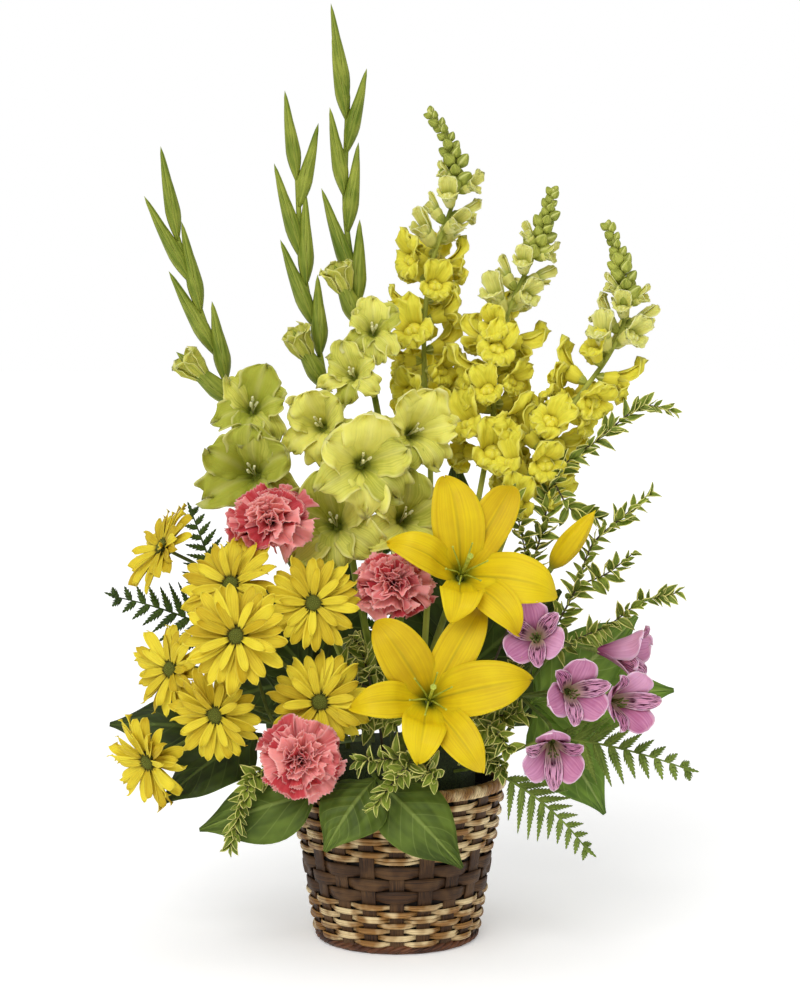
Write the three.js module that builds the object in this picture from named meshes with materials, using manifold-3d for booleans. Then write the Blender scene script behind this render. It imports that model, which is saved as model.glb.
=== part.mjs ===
// A florist's one-sided basket arrangement. A tapered basket woven of bamboo strips holds a plastic liner
// and a block of wet floral foam, and every stem stands in its own hole in that foam. Three lime
// gladioli and three yellow snapdragons rise at the back, eight yellow daisy chrysanthemums fill the
// left, two yellow lilies with a bud and three pink carnations the middle, and a spray of mauve
// alstroemeria the right. Variegated boxwood sprigs, leatherleaf fern and broad salal leaves collar
// the rim. Millimetres, +Z up, front towards -Y, origin at the middle of the basket's underside.
import * as THREE from 'three';
import { mergeVertices } from 'three/addons/utils/BufferGeometryUtils.js';
import Module from 'manifold-3d';

const wasm = await Module();
wasm.setup();
const { Manifold } = wasm;
const vec = (x, y, z) => new THREE.Vector3(x, y, z);

// ---- Driving dimensions ----
const BASKET = {
  height: 136, footRadius: 65, rimRadius: 88.5, wall: 3.6, floor: 5, stakes: 20, rows: 13, relief: 1.1,
};
const FOOT_RING = { height: 7, bulge: 2.2 };
const RIM_BAND = { height: 9, thickness: 3.2 };
const LINER = { height: 120, wall: 1.4, gap: 0.6 };
const FOAM = { top: 160, radius: 66, shoulder: 9 };
const STEM_GAP = 0.7; // from a stem's corners to its hole in the foam or in a bloom
const BLADE = 1.3; // thickness at the midrib of a petal or leaf
const FOOT_DEPTH = 52; // how far a stem stands in the foam from above
const SIDE_DEPTH = 18; // how far a low green stands in the foam's side

// ---- Closed bodies ----
function solid(geometry) {
  geometry.deleteAttribute('normal');
  geometry.deleteAttribute('uv');
  const merged = mergeVertices(geometry, 1e-4);
  return new Manifold(new wasm.Mesh({
    numProp: 3,
    vertProperties: new Float32Array(merged.attributes.position.array),
    triVerts: new Uint32Array(merged.index.array),
  }));
}

function bodyOf(points, triangles) {
  const geometry = new THREE.BufferGeometry().setFromPoints(points);
  geometry.setIndex(triangles);
  return solid(geometry);
}

const join = (bodies) => Manifold.union(bodies);

// Sections of the same number of points, in order along the body, each counter-clockwise seen from
// its far end. A start or end given as a point closes that end to it; otherwise the end is flat.
// alike splits the two faces of a thin diamond along the same lines, so that they stay apart.
function loft(sections, start, end, alike = false) {
  const sides = sections[0].length;
  const points = sections.flat();
  const triangles = [];
  const last = (sections.length - 1) * sides;
  for (let level = 0; level < sections.length - 1; level += 1) {
    for (let j = 0; j < sides; j += 1) {
      const a = level * sides + j;
      const b = level * sides + ((j + 1) % sides);
      if (alike && j % 2) triangles.push(a, b, a + sides, b, b + sides, a + sides);
      else triangles.push(a, b, b + sides, a, b + sides, a + sides);
    }
  }
  const startAt = start ? points.push(start) - 1 : 0;
  const endAt = end ? points.push(end) - 1 : 0;
  for (let j = 0; j < sides; j += 1) {
    const k = (j + 1) % sides;
    if (start) triangles.push(startAt, k, j);
    else if (j > 0 && k > 0) triangles.push(0, k, j);
    if (end) triangles.push(last + j, last + k, endAt);
    else if (j > 0 && k > 0) triangles.push(last, last + j, last + k);
  }
  return bodyOf(points, triangles);
}

// A run of straight pieces through the given centres, with the cross directions at each of them.
function runOf(centres) {
  const ways = centres.map((_, i) => {
    const before = centres[Math.max(i - 1, 0)];
    const after = centres[Math.min(i + 1, centres.length - 1)];
    return after.clone().sub(before).normalize();
  });
  let side = vec(0, -1, 0).cross(ways[0]).normalize();
  const frames = centres.map((centre, i) => {
    side = side.clone().addScaledVector(ways[i], -side.dot(ways[i])).normalize();
    return { centre, way: ways[i], side, front: ways[i].clone().cross(side) };
  });
  const lengths = [0];
  for (let i = 1; i < centres.length; i += 1) {
    lengths.push(lengths[i - 1] + centres[i].distanceTo(centres[i - 1]));
  }
  const length = lengths[lengths.length - 1];
  const at = (distance) => {
    let i = 1;
    while (i < centres.length - 1 && lengths[i] < distance) i += 1;
    const share = (distance - lengths[i - 1]) / (lengths[i] - lengths[i - 1]);
    const way = centres[i].clone().sub(centres[i - 1]).normalize();
    return { centre: centres[i - 1].clone().lerp(centres[i], share), way };
  };
  return { frames, length, at };
}

function sweep(frames, radius, sides = 4) {
  return loft(frames.map(({ centre, side, front }) => Array.from({ length: sides }, (_, j) => {
    const angle = (j * 2 * Math.PI) / sides;
    return centre.clone()
      .addScaledVector(side, radius * Math.cos(angle))
      .addScaledVector(front, radius * Math.sin(angle));
  })));
}

const curveThrough = (points) => new THREE.CatmullRomCurve3(points, false, 'centripetal');
function rod(points, radius, steps = 1, sides = 4) {
  const centres = steps > 1 || points.length > 2 ? curveThrough(points).getSpacedPoints(steps) : points;
  return sweep(runOf(centres).frames, radius, sides);
}

const turned = (profile, segments) => solid(
  new THREE.LatheGeometry(profile.map(([r, z]) => new THREE.Vector2(r, z)), segments).rotateX(Math.PI / 2),
);

// Places a body built on +Z at a point, turned so that +Z looks along the given direction.
function placed(body, at, facing, roll = 0) {
  const turn = new THREE.Quaternion().setFromUnitVectors(vec(0, 0, 1), facing.clone().normalize());
  const spin = new THREE.Quaternion().setFromAxisAngle(vec(0, 0, 1), roll);
  const matrix = new THREE.Matrix4().compose(at, turn.multiply(spin), vec(1, 1, 1));
  return body.transform(matrix.elements);
}

// ---- Petals and leaves ----

// A whorl of petals grown together at a ring, on the +Z axis. ring and notch are [r, z], a notch
// lying between each petal and the next; aside moves the ring off the axis, and apex, a height,
// closes it with a cone. petal(k) gives its stations [r, z, half width, cup], cup
// being how far the edges rise above the midrib, its tip [r, z, half width] and a turn aside.
// wave ruffles the edges.
function whorl({
  petals, ring, notch, petal, phase = 0, wave = 0, thickness = BLADE, aside = [0, 0], apex = 0,
}) {
  const points = [];
  const triangles = [];
  const add = (angle, r, z, across = 0) => points.push(vec(
    r * Math.cos(angle) - across * Math.sin(angle),
    r * Math.sin(angle) + across * Math.cos(angle),
    z,
  )) - 1;
  const step = (2 * Math.PI) / petals;
  const every = (make) => Array.from({ length: petals }, (_, k) => make(phase + (k - 0.5) * step));
  const wall = Math.hypot(notch[0] - ring[0], notch[1] - ring[1]);
  const outer = [
    ring[0] + (thickness * (notch[1] - ring[1])) / wall,
    ring[1] - (thickness * (notch[0] - ring[0])) / wall,
  ];
  const top = every((angle) => add(angle, ...ring));
  const under = every((angle) => add(angle, ...outer));
  for (const point of points) point.add(vec(aside[0], aside[1], 0));
  const [apexTop, apexUnder] = apex ? [add(0, 0, apex), add(0, 0, outer[1])] : [];
  const notches = every((angle) => add(angle, notch[0], notch[1]));
  for (let k = 0; k < petals; k += 1) {
    const next = (k + 1) % petals;
    if (apex) triangles.push(apexTop, top[k], top[next], apexUnder, under[next], under[k]);
    else triangles.push(under[k], top[k], top[next], under[k], top[next], under[next]);
    const { stations, tip, turn = 0 } = petal(k);
    const angle = phase + k * step + turn;
    const ribs = stations.map(([r, z, half, cup], i) => {
      const [br, bz] = i ? stations[i - 1] : notch;
      const [ar, az] = stations[i + 1] ?? tip;
      const length = Math.hypot(ar - br, az - bz);
      const nr = -(az - bz) / length;
      const nz = (ar - br) / length;
      const edge = (side) => {
        const rise = cup + side * ((i + k) % 2 ? wave : -wave);
        return add(angle, r + nr * rise, z + nz * rise, side * half);
      };
      return {
        left: edge(-1),
        right: edge(1),
        top: add(angle, r + (nr * thickness) / 2, z + (nz * thickness) / 2),
        under: add(angle, r - (nr * thickness) / 2, z - (nz * thickness) / 2),
      };
    });
    const ends = tip[2]
      ? [add(angle, tip[0], tip[1] + wave, -tip[2]), add(angle, tip[0], tip[1] - wave, tip[2])]
      : [add(angle, tip[0], tip[1])];
    const first = ribs[0];
    const final = ribs[ribs.length - 1];
    for (const face of ['top', 'under']) {
      const put = (a, b, c) => triangles.push(...(face === 'under' ? [a, c, b] : [a, b, c]));
      const [inner, innerNext] = face === 'under' ? [under[k], under[next]] : [top[k], top[next]];
      put(inner, notches[k], first[face]);
      put(inner, first[face], innerNext);
      put(innerNext, first[face], notches[next]);
      put(notches[k], first.left, first[face]);
      put(first[face], first.right, notches[next]);
      for (let i = 0; i < ribs.length - 1; i += 1) {
        put(ribs[i].left, ribs[i + 1].left, ribs[i + 1][face]);
        put(ribs[i].left, ribs[i + 1][face], ribs[i][face]);
        put(ribs[i][face], ribs[i + 1][face], ribs[i + 1].right);
        put(ribs[i][face], ribs[i + 1].right, ribs[i].right);
      }
      put(final.left, ends[0], final[face]);
      if (ends.length > 1) put(final[face], ends[0], ends[1]);
      put(final[face], ends[ends.length - 1], final.right);
    }
  }
  return bodyOf(points, triangles);
}

// The bowed midrib of a leaf from root to tip, and its cross directions; up is about the upper face.
function midrib(root, tip, up, arch) {
  const along = tip.clone().sub(root);
  const side = along.clone().cross(up).normalize();
  const normal = side.clone().cross(along).normalize();
  const at = (share) => root.clone()
    .addScaledVector(along, share)
    .addScaledVector(normal, arch * 4 * share * (1 - share));
  return { length: along.length(), side, normal, at };
}

// A leaf, bud or bract. outline lists [share of length, share of half width]; cup lifts the edges
// above the midrib and wave lifts and drops them by turns.
function blade({ root, tip, up, half, outline, arch = 0, cup = 0, wave = 0, thickness = BLADE }) {
  const { side, normal, at } = midrib(root, tip, up, arch);
  const sections = outline.map(([share, width], i) => {
    const middle = at(share);
    const edge = (way) => middle.clone().addScaledVector(side, way * half * width)
      .addScaledVector(normal, cup * width + way * (i % 2 ? wave : -wave));
    return [
      edge(1),
      middle.clone().addScaledVector(normal, -thickness / 2),
      edge(-1),
      middle.clone().addScaledVector(normal, thickness / 2),
    ];
  });
  return loft(sections, root, tip, true);
}

const random = (() => {
  let state = 20117;
  return () => {
    state = (state * 16807) % 2147483647;
    return state / 2147483647;
  };
})();
const between = (low, high) => low + (high - low) * random();

// ---- The scene graph ----
const arrangement = new THREE.Group();
arrangement.name = 'flower_basket_arrangement';
const bodies = new Map();

function material(color, roughness, metalness = 0) {
  return new THREE.MeshStandardMaterial({ color, roughness, metalness });
}
const MATERIALS = {
  bamboo: material(0x5a3d2b, 0.55),
  cane: material(0xb88a55, 0.55),
  liner: material(0x2b2f2b, 0.4),
  foam: material(0x2f5a33, 0.95),
  gladiolusStem: material(0x6f9a35, 0.55),
  gladiolusPetal: material(0xb9c84a, 0.6),
  snapdragonStem: material(0x8bab4a, 0.6),
  snapdragonPetal: material(0xe6cf2e, 0.6),
  daisyPetal: material(0xf2d52a, 0.6),
  daisyGreen: material(0x5d7a35, 0.7),
  lilyPetal: material(0xf6c915, 0.5),
  lilyGreen: material(0x7f9a3c, 0.5),
  carnationPetal: material(0xe8707a, 0.7),
  carnationGreen: material(0x6f8f63, 0.6),
  alstroemeriaPetal: material(0xc67fb0, 0.6),
  alstroemeriaGreen: material(0x5f8a3e, 0.6),
  boxwood: material(0x6a8a3a, 0.5),
  fern: material(0x2f5f2c, 0.6),
  salal: material(0x3f6a2a, 0.45),
};

const SLIVER = 0.03; // edges shorter than this, left by the joins, are drawn together
function node(name, body, look) {
  const whole = body.decompose().sort((a, b) => b.volume() - a.volume())[0].simplify(SLIVER);
  bodies.set(name, whole);
  const made = whole.getMesh();
  const geometry = new THREE.BufferGeometry();
  geometry.setAttribute('position', new THREE.BufferAttribute(new Float32Array(made.vertProperties), 3));
  geometry.setIndex(new THREE.BufferAttribute(new Uint32Array(made.triVerts), 1));
  geometry.computeVertexNormals();
  const mesh = new THREE.Mesh(geometry, look);
  mesh.name = name;
  arrangement.add(mesh);
}

// ---- Stems ----
// Holes for the foam: one straight hole for each stem that stands in it.
const holes = [];

// Where a stem enters the foam and the way it goes in. A foot of [x, y] is on the foam's top, one
// of [x, y, z] in its side.
function footing([x, y, z]) {
  const entry = vec(x, y, z ?? FOAM.top);
  const into = z ? vec(x, y, z - 130) : vec(x * 0.25, y * 0.25, FOOT_DEPTH);
  return { entry, into: into.normalize(), depth: z ? SIDE_DEPTH : FOOT_DEPTH };
}

function stemCurve(foot, route) {
  const { entry, into } = footing(foot);
  return curveThrough([entry, entry.clone().addScaledVector(into, 10), ...route]);
}

// A stem's centres: straight in the foam, then at the given shares of its curve.
function stemCentres(foot, curve, shares) {
  const { entry, into, depth } = footing(foot);
  return [entry.clone().addScaledVector(into, -depth), ...shares.map((share) => curve.getPointAt(share))];
}

const evenly = (steps) => Array.from({ length: steps + 1 }, (_, i) => i / steps);
const plainStem = (foot, route, steps) => stemCentres(foot, stemCurve(foot, route), evenly(steps));

// A stem as a run and a body; its hole is kept for the foam.
function standing(centres, radius) {
  const run = runOf(centres);
  const [low, entry] = centres;
  const into = entry.clone().sub(low).normalize();
  const reach = (centre, by) => centre.clone().addScaledVector(into, by);
  const bore = runOf([reach(low, -1), reach(entry, 14)]);
  holes.push(sweep(bore.frames, radius + STEM_GAP));
  return { run, body: sweep(run.frames, radius) };
}

// The route of a stem that arrives at the back of a bloom along the way it faces.
function toBloom(foot, head, facing) {
  const entry = vec(foot[0], foot[1], FOAM.top);
  const length = head.distanceTo(entry);
  return [
    entry.clone().lerp(head, 0.3).add(vec(0, 0, length * 0.14)),
    head.clone().addScaledVector(facing, -length * 0.26),
    head,
  ];
}

// ---- Basket, liner and foam ----
const wallRadius = (z) => BASKET.footRadius + ((BASKET.rimRadius - BASKET.footRadius) * z) / BASKET.height;

// The wall is a grid of points over which strips pass outside and inside the stakes by turns.
function wovenBasket() {
  const columns = BASKET.stakes;
  const points = [];
  const triangles = [];
  const ringOf = (radius, z) => {
    for (let i = 0; i < columns; i += 1) {
      const angle = (i * 2 * Math.PI) / columns;
      points.push(vec(radius(i) * Math.cos(angle), radius(i) * Math.sin(angle), z));
    }
  };
  const band = (low, high) => {
    for (let i = 0; i < columns; i += 1) {
      const k = (i + 1) % columns;
      triangles.push(low * columns + i, low * columns + k, high * columns + k);
      triangles.push(low * columns + i, high * columns + k, high * columns + i);
    }
  };
  const top = BASKET.height - RIM_BAND.height;
  for (let row = 0; row < BASKET.rows; row += 1) {
    const z = FOOT_RING.height + 0.3 + ((top - 0.6 - FOOT_RING.height) * row) / (BASKET.rows - 1);
    const woven = row > 0 && row < BASKET.rows - 1 ? BASKET.relief : 0;
    ringOf((i) => wallRadius(z) + ((i + row) % 2 ? woven : -woven), z);
  }
  const inner = (z) => () => wallRadius(z) - BASKET.wall;
  ringOf(inner(top), top - 0.3);
  ringOf(inner(BASKET.floor + FOOT_RING.height), BASKET.floor + FOOT_RING.height);
  for (let row = 0; row < BASKET.rows + 1; row += 1) band(row, row + 1);
  const floorTop = points.push(vec(0, 0, BASKET.floor + FOOT_RING.height)) - 1;
  const floorUnder = points.push(vec(0, 0, FOOT_RING.height + 0.3)) - 1;
  for (let i = 0; i < columns; i += 1) {
    const k = (i + 1) % columns;
    triangles.push((BASKET.rows + 1) * columns + i, (BASKET.rows + 1) * columns + k, floorTop);
    triangles.push(k, i, floorUnder);
  }
  return bodyOf(points, triangles);
}

function basketRim() {
  const low = BASKET.height - RIM_BAND.height;
  const out = RIM_BAND.thickness;
  return turned([
    [wallRadius(low) - BASKET.wall, low],
    [wallRadius(low) + out * 0.7, low],
    [wallRadius(low) + out, low + RIM_BAND.height * 0.6],
    [wallRadius(low) + out * 0.4, BASKET.height],
    [wallRadius(low) - BASKET.wall, BASKET.height],
    [wallRadius(low) - BASKET.wall, low],
  ], BASKET.stakes);
}

// The flat base and the twisted ring round it, which the basket stands on.
function basketFoot() {
  return turned([
    [0, 0],
    [BASKET.footRadius, 0],
    [BASKET.footRadius + FOOT_RING.bulge, FOOT_RING.height * 0.5],
    [BASKET.footRadius + FOOT_RING.bulge * 0.5, FOOT_RING.height],
    [0, FOOT_RING.height],
  ], BASKET.stakes);
}

const linerFloor = BASKET.floor + FOOT_RING.height + LINER.gap;
const linerRadius = (z) => wallRadius(z) - BASKET.wall - 1.6;
function liner() {
  const inside = linerFloor + LINER.wall;
  return turned([
    [0, linerFloor],
    [linerRadius(linerFloor), linerFloor],
    [linerRadius(LINER.height), LINER.height],
    [linerRadius(LINER.height) - LINER.wall, LINER.height],
    [linerRadius(inside) - LINER.wall, inside],
    [0, inside],
  ], 14);
}

function foam() {
  const low = linerFloor + LINER.wall + LINER.gap;
  const radius = (z) => Math.min(FOAM.radius, linerRadius(z) - LINER.wall - 1.2);
  return turned([
    [0, low],
    [radius(low), low],
    [FOAM.radius, 100],
    [FOAM.radius, FOAM.top - FOAM.shoulder],
    [FOAM.radius - FOAM.shoulder, FOAM.top],
    [0, FOAM.top],
  ], 14);
}

node('basket_weave', wovenBasket(), MATERIALS.bamboo);
node('basket_rim', basketRim(), MATERIALS.cane);
node('basket_foot', basketFoot(), MATERIALS.bamboo);
node('liner', liner(), MATERIALS.liner);

// ---- Daisy chrysanthemums ----
const DAISY = { eye: 7.6, neck: 4.6, petals: 16 };
const daisies = [
  { at: vec(-190, -5, 323), facing: vec(-0.75, -0.4, 0.5), size: 38 },
  { at: vec(-130, -78, 300), facing: vec(-0.3, -0.8, 0.5), size: 39 },
  { at: vec(-124, -112, 264), facing: vec(-0.15, -0.95, 0.2), size: 41 },
  { at: vec(-66, -88, 287), facing: vec(0.1, -0.95, 0.25), size: 37 },
  { at: vec(-180, -48, 229), facing: vec(-0.66, -0.74, 0.1), size: 37 },
  { at: vec(-142, -86, 199), facing: vec(-0.3, -0.92, -0.05), size: 37 },
  { at: vec(-61, -92, 209), facing: vec(0.05, -0.95, 0.2), size: 39 },
  { at: vec(-199, -48, 155), facing: vec(-0.62, -0.7, -0.25), size: 38 },
];
const daisySprays = [
  { foot: [-36, 16], fork: vec(-92, -4, 226), heads: [0, 1, 3] },
  { foot: [-46, 0], fork: vec(-96, -12, 186), heads: [4, 7] },
  { foot: [-40, -20], fork: vec(-76, -44, 180), heads: [2, 5, 6] },
];

// Two layers of petals by turns, the upper ones shorter and lifted.
function daisyPetals(size) {
  return whorl({
    petals: DAISY.petals,
    ring: [DAISY.neck + STEM_GAP, 0.6],
    notch: [DAISY.eye + 0.8, 0.8],
    petal: (k) => {
      const upper = k % 2;
      const reach = size * (upper ? 0.93 : 1) * between(0.94, 1.03);
      const lift = upper * 2.6 + between(-1.5, 1.5);
      return {
        stations: [[DAISY.eye + (reach - DAISY.eye) * 0.55, 2 + upper * 2.4, size * 0.165, 0.6]],
        tip: [reach, 2.5 + lift, size * 0.085],
      };
    },
  });
}

function daisyCore() {
  return turned([
    [0, -7],
    [2, -7],
    [6.4, -1.8],
    [DAISY.neck, -1.4],
    [DAISY.neck, 2.4],
    [DAISY.eye, 3.6],
    [0, 6.8],
  ], 6);
}

for (const [i, daisy] of daisies.entries()) {
  daisy.facing.normalize();
  node(`daisy_${i + 1}_petals`, placed(daisyPetals(daisy.size), daisy.at, daisy.facing), MATERIALS.daisyPetal);
}
for (const [i, spray] of daisySprays.entries()) {
  const centres = plainStem(spray.foot, [spray.fork], 3);
  const parts = [standing(centres, 2.2).body];
  const rise = spray.fork.clone().sub(centres[centres.length - 2]).normalize();
  for (const k of spray.heads) {
    const { at, facing } = daisies[k];
    const back = at.clone().addScaledVector(facing, -5);
    const gap = back.distanceTo(spray.fork);
    parts.push(placed(daisyCore(), at, facing));
    parts.push(rod([
      spray.fork.clone().addScaledVector(rise, -1.5),
      spray.fork.clone().addScaledVector(rise, gap * 0.22),
      back.clone().addScaledVector(facing, -gap * 0.28),
      back,
    ], 1.6, 3, 3));
  }
  node(`daisy_spray_${i + 1}_stem`, join(parts), MATERIALS.daisyGreen);
}

// ---- Lilies ----
// turns are how far each tepal lies aside of an even star, in degrees, and reach is how far it spreads:
// a short one bends forward instead.
const LILY = { throat: 3.4 };
const lilies = [
  {
    name: 'upper', foot: [14, -6],
    at: vec(50, -62, 304), facing: vec(0.1, -0.92, 0.36), turns: [-12, 3, -18, -10, 26, 16], phase: 0,
    reach: [0.95, 1, 0.94, 0.78, 0.6, 0.82],
  },
  {
    name: 'lower', foot: [4, -34],
    at: vec(25, -82, 208), facing: vec(0.03, -0.95, 0.3), turns: [1, -7, -1, 3, 10, -3], phase: 0.12,
    reach: [0.98, 1, 0.88, 0.78, 0.66, 0.9],
  },
];

// Three broad inner tepals and three narrower outer ones behind them.
function lilyPetals({ phase, turns, reach }) {
  return whorl({
    petals: 6,
    phase,
    ring: [LILY.throat + STEM_GAP, 0],
    notch: [LILY.throat + 3, 8],
    petal: (k) => {
      const inner = 1 - (k % 2);
      const long = reach[k];
      const forward = (1 - long) * 16;
      const lift = inner * 2;
      return {
        stations: [
          [13 + 3 * long, 22 + lift, inner ? 11 : 7.5, 2],
          [38 * long, 36 + lift + forward * 0.5, inner ? 19.5 : 14, 2.5],
          [59 * long, 41 + lift + forward, inner ? 13.5 : 10, 0],
        ],
        tip: [75 * long, 33 + lift + forward, 0],
        turn: THREE.MathUtils.degToRad(turns[k]),
      };
    },
  });
}

// The stem's end in the throat, with the pistil and six stamens.
function lilyCore() {
  const parts = [rod([vec(0, 0, -12), vec(0, 0, 8)], 3)];
  for (let k = 0; k < 7; k += 1) {
    const out = vec(Math.cos((k * Math.PI) / 3), Math.sin((k * Math.PI) / 3), 0);
    const spread = k < 6 ? 1 : 0;
    parts.push(blade({
      root: vec(0, 0, 6).addScaledVector(out, 1.2 * spread),
      tip: vec(0, 0, 46).addScaledVector(out, 14 * spread),
      up: vec(-out.y, out.x, 0),
      half: 1.3,
      thickness: 1.8,
      outline: [[0.86, 1]],
    }));
  }
  return join(parts);
}

const lilyBud = { root: vec(122, -45, 308), tip: vec(153, -62, 352) };
const budWay = lilyBud.tip.clone().sub(lilyBud.root).normalize();
const budBody = turned([[0, 0], [4, 1], [8, 28], [6, 48], [0, 64]], 6);
const budPeg = rod([vec(0, 0, -4), vec(0, 0, 9)], 2.6);
const budHole = rod([vec(0, 0, -4), vec(0, 0, 10)], 2.6 + STEM_GAP);
node('lily_bud', placed(budBody.subtract(budHole), lilyBud.root, budWay), MATERIALS.lilyPetal);
for (const lily of lilies) {
  const facing = lily.facing.normalize();
  const tepals = placed(lilyPetals(lily), lily.at, facing);
  node(`lily_${lily.name}_petals`, tepals, MATERIALS.lilyPetal);
  const back = lily.at.clone().addScaledVector(facing, -10);
  const { body, run } = standing(plainStem(lily.foot, toBloom(lily.foot, back, facing), 5), 3);
  const parts = [body, placed(lilyCore(), lily.at, facing)];
  if (lily.name === 'upper') {
    const fork = run.frames[4].centre;
    parts.push(rod([fork, fork.clone().lerp(lilyBud.root, 0.5).add(vec(6, 8, -6)), lilyBud.root], 2, 4));
    parts.push(placed(budPeg, lilyBud.root, budWay));
  }
  node(`lily_${lily.name}_stem`, join(parts), MATERIALS.lilyGreen);
}

// ---- Carnations ----
const CARNATION = { peg: 3.4 };
const carnations = [
  { at: vec(-100, -48, 346), facing: vec(-0.15, -0.82, 0.5), foot: [-20, 8], size: 37 },
  { at: vec(-3, -68, 298), facing: vec(0.0, -0.9, 0.42), foot: [-4, -12], size: 34 },
  { at: vec(-75, -112, 169), facing: vec(0.02, -0.98, 0.05), foot: [-22, -40], size: 34 },
];

// Frilled petals in three layers by turns, round a folded heart, with a hole for the stem's peg.
function carnationHead(size) {
  return whorl({
    petals: 18,
    ring: [7, 2],
    notch: [9, 4],
    apex: 17,
    wave: 2,
    petal: (k) => {
      const layer = k % 3;
      const tilt = layer * 0.55 + between(-0.08, 0.08);
      const reach = size * (1 - layer * 0.06) * between(0.92, 1.03);
      const out = Math.cos(tilt) * reach;
      const up = 1 + layer * 1.5 + Math.sin(tilt) * reach * 0.85;
      return {
        stations: [[8 + out * 0.58, 3 + up * 0.72, size * (0.33 - layer * 0.05), 1]],
        tip: [3 + out * 0.93, up, size * (0.32 - layer * 0.05)],
      };
    },
  }).subtract(rod([vec(0, 0, -8), vec(0, 0, 5)], CARNATION.peg + STEM_GAP, 1, 6));
}

for (const [i, carnation] of carnations.entries()) {
  const { at, foot, size } = carnation;
  const facing = carnation.facing.normalize();
  const { peg } = CARNATION;
  node(`carnation_${i + 1}_petals`, placed(carnationHead(size), at, facing), MATERIALS.carnationPetal);
  const calyx = turned([[0, -22], [3, -22], [5.8, -12], [5.2, -0.7], [peg, -0.7], [peg, 4], [0, 4]], 6);
  const back = at.clone().addScaledVector(facing, -20);
  const { body } = standing(plainStem(foot, toBloom(foot, back, facing), 5), 1.9);
  node(`carnation_${i + 1}_stem`, join([body, placed(calyx, at, facing)]), MATERIALS.carnationGreen);
}

// ---- Alstroemeria ----
const florets = [
  { at: vec(112, -76, 258), facing: vec(-0.15, -0.95, 0.2) },
  { at: vec(160, -58, 246), facing: vec(0.95, -0.3, -0.1) },
  { at: vec(133, -92, 218), facing: vec(0.2, -0.95, 0.12) },
  { at: vec(166, -72, 209), facing: vec(0.5, -0.84, 0.05) },
  { at: vec(122, -88, 180), facing: vec(0.0, -0.93, -0.3) },
];
const ALSTROEMERIA = { foot: [38, -22], fork: vec(100, -34, 206), radius: 2.2, throat: 2.2 };

// Three broad outer tepals and, between them, three narrow pointed ones.
function alstroemeriaPetals() {
  return whorl({
    petals: 6,
    phase: Math.PI / 2,
    ring: [ALSTROEMERIA.throat, 0],
    notch: [5, 8],
    petal: (k) => {
      const inner = k % 2;
      const long = between(0.94, 1.05);
      return {
        stations: [
          [10, 18 + inner, inner ? 5 : 7.5, 1],
          [18 * long, 26 + inner, inner ? 6.5 : 9.5, 1],
        ],
        tip: [25.5 * long, 29 + inner, inner ? 1.5 : 5],
      };
    },
  });
}

const floretCore = turned([[0, -8], [1.4, -8], [3.4, -4], [1.3, -1], [1.3, 10], [0, 22]], 4);
const fork = ALSTROEMERIA.fork;
const alstroemeriaCentres = plainStem(ALSTROEMERIA.foot, [fork], 4);
const alstroemeriaParts = [standing(alstroemeriaCentres, ALSTROEMERIA.radius).body];
const forkRise = fork.clone().sub(alstroemeriaCentres[alstroemeriaCentres.length - 2]).normalize();
for (const [i, floret] of florets.entries()) {
  const facing = floret.facing.normalize();
  const tepals = placed(alstroemeriaPetals(), floret.at, facing);
  node(`alstroemeria_${i + 1}_petals`, tepals, MATERIALS.alstroemeriaPetal);
  const back = floret.at.clone().addScaledVector(facing, -6);
  const gap = back.distanceTo(fork);
  alstroemeriaParts.push(rod([
    fork.clone().addScaledVector(forkRise, -1),
    back.clone().addScaledVector(facing, -gap * 0.3),
    back,
  ], 1.3, 3, 3));
  alstroemeriaParts.push(placed(floretCore, floret.at, facing));
}
node('alstroemeria_stem', join(alstroemeriaParts), MATERIALS.alstroemeriaGreen);

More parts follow.
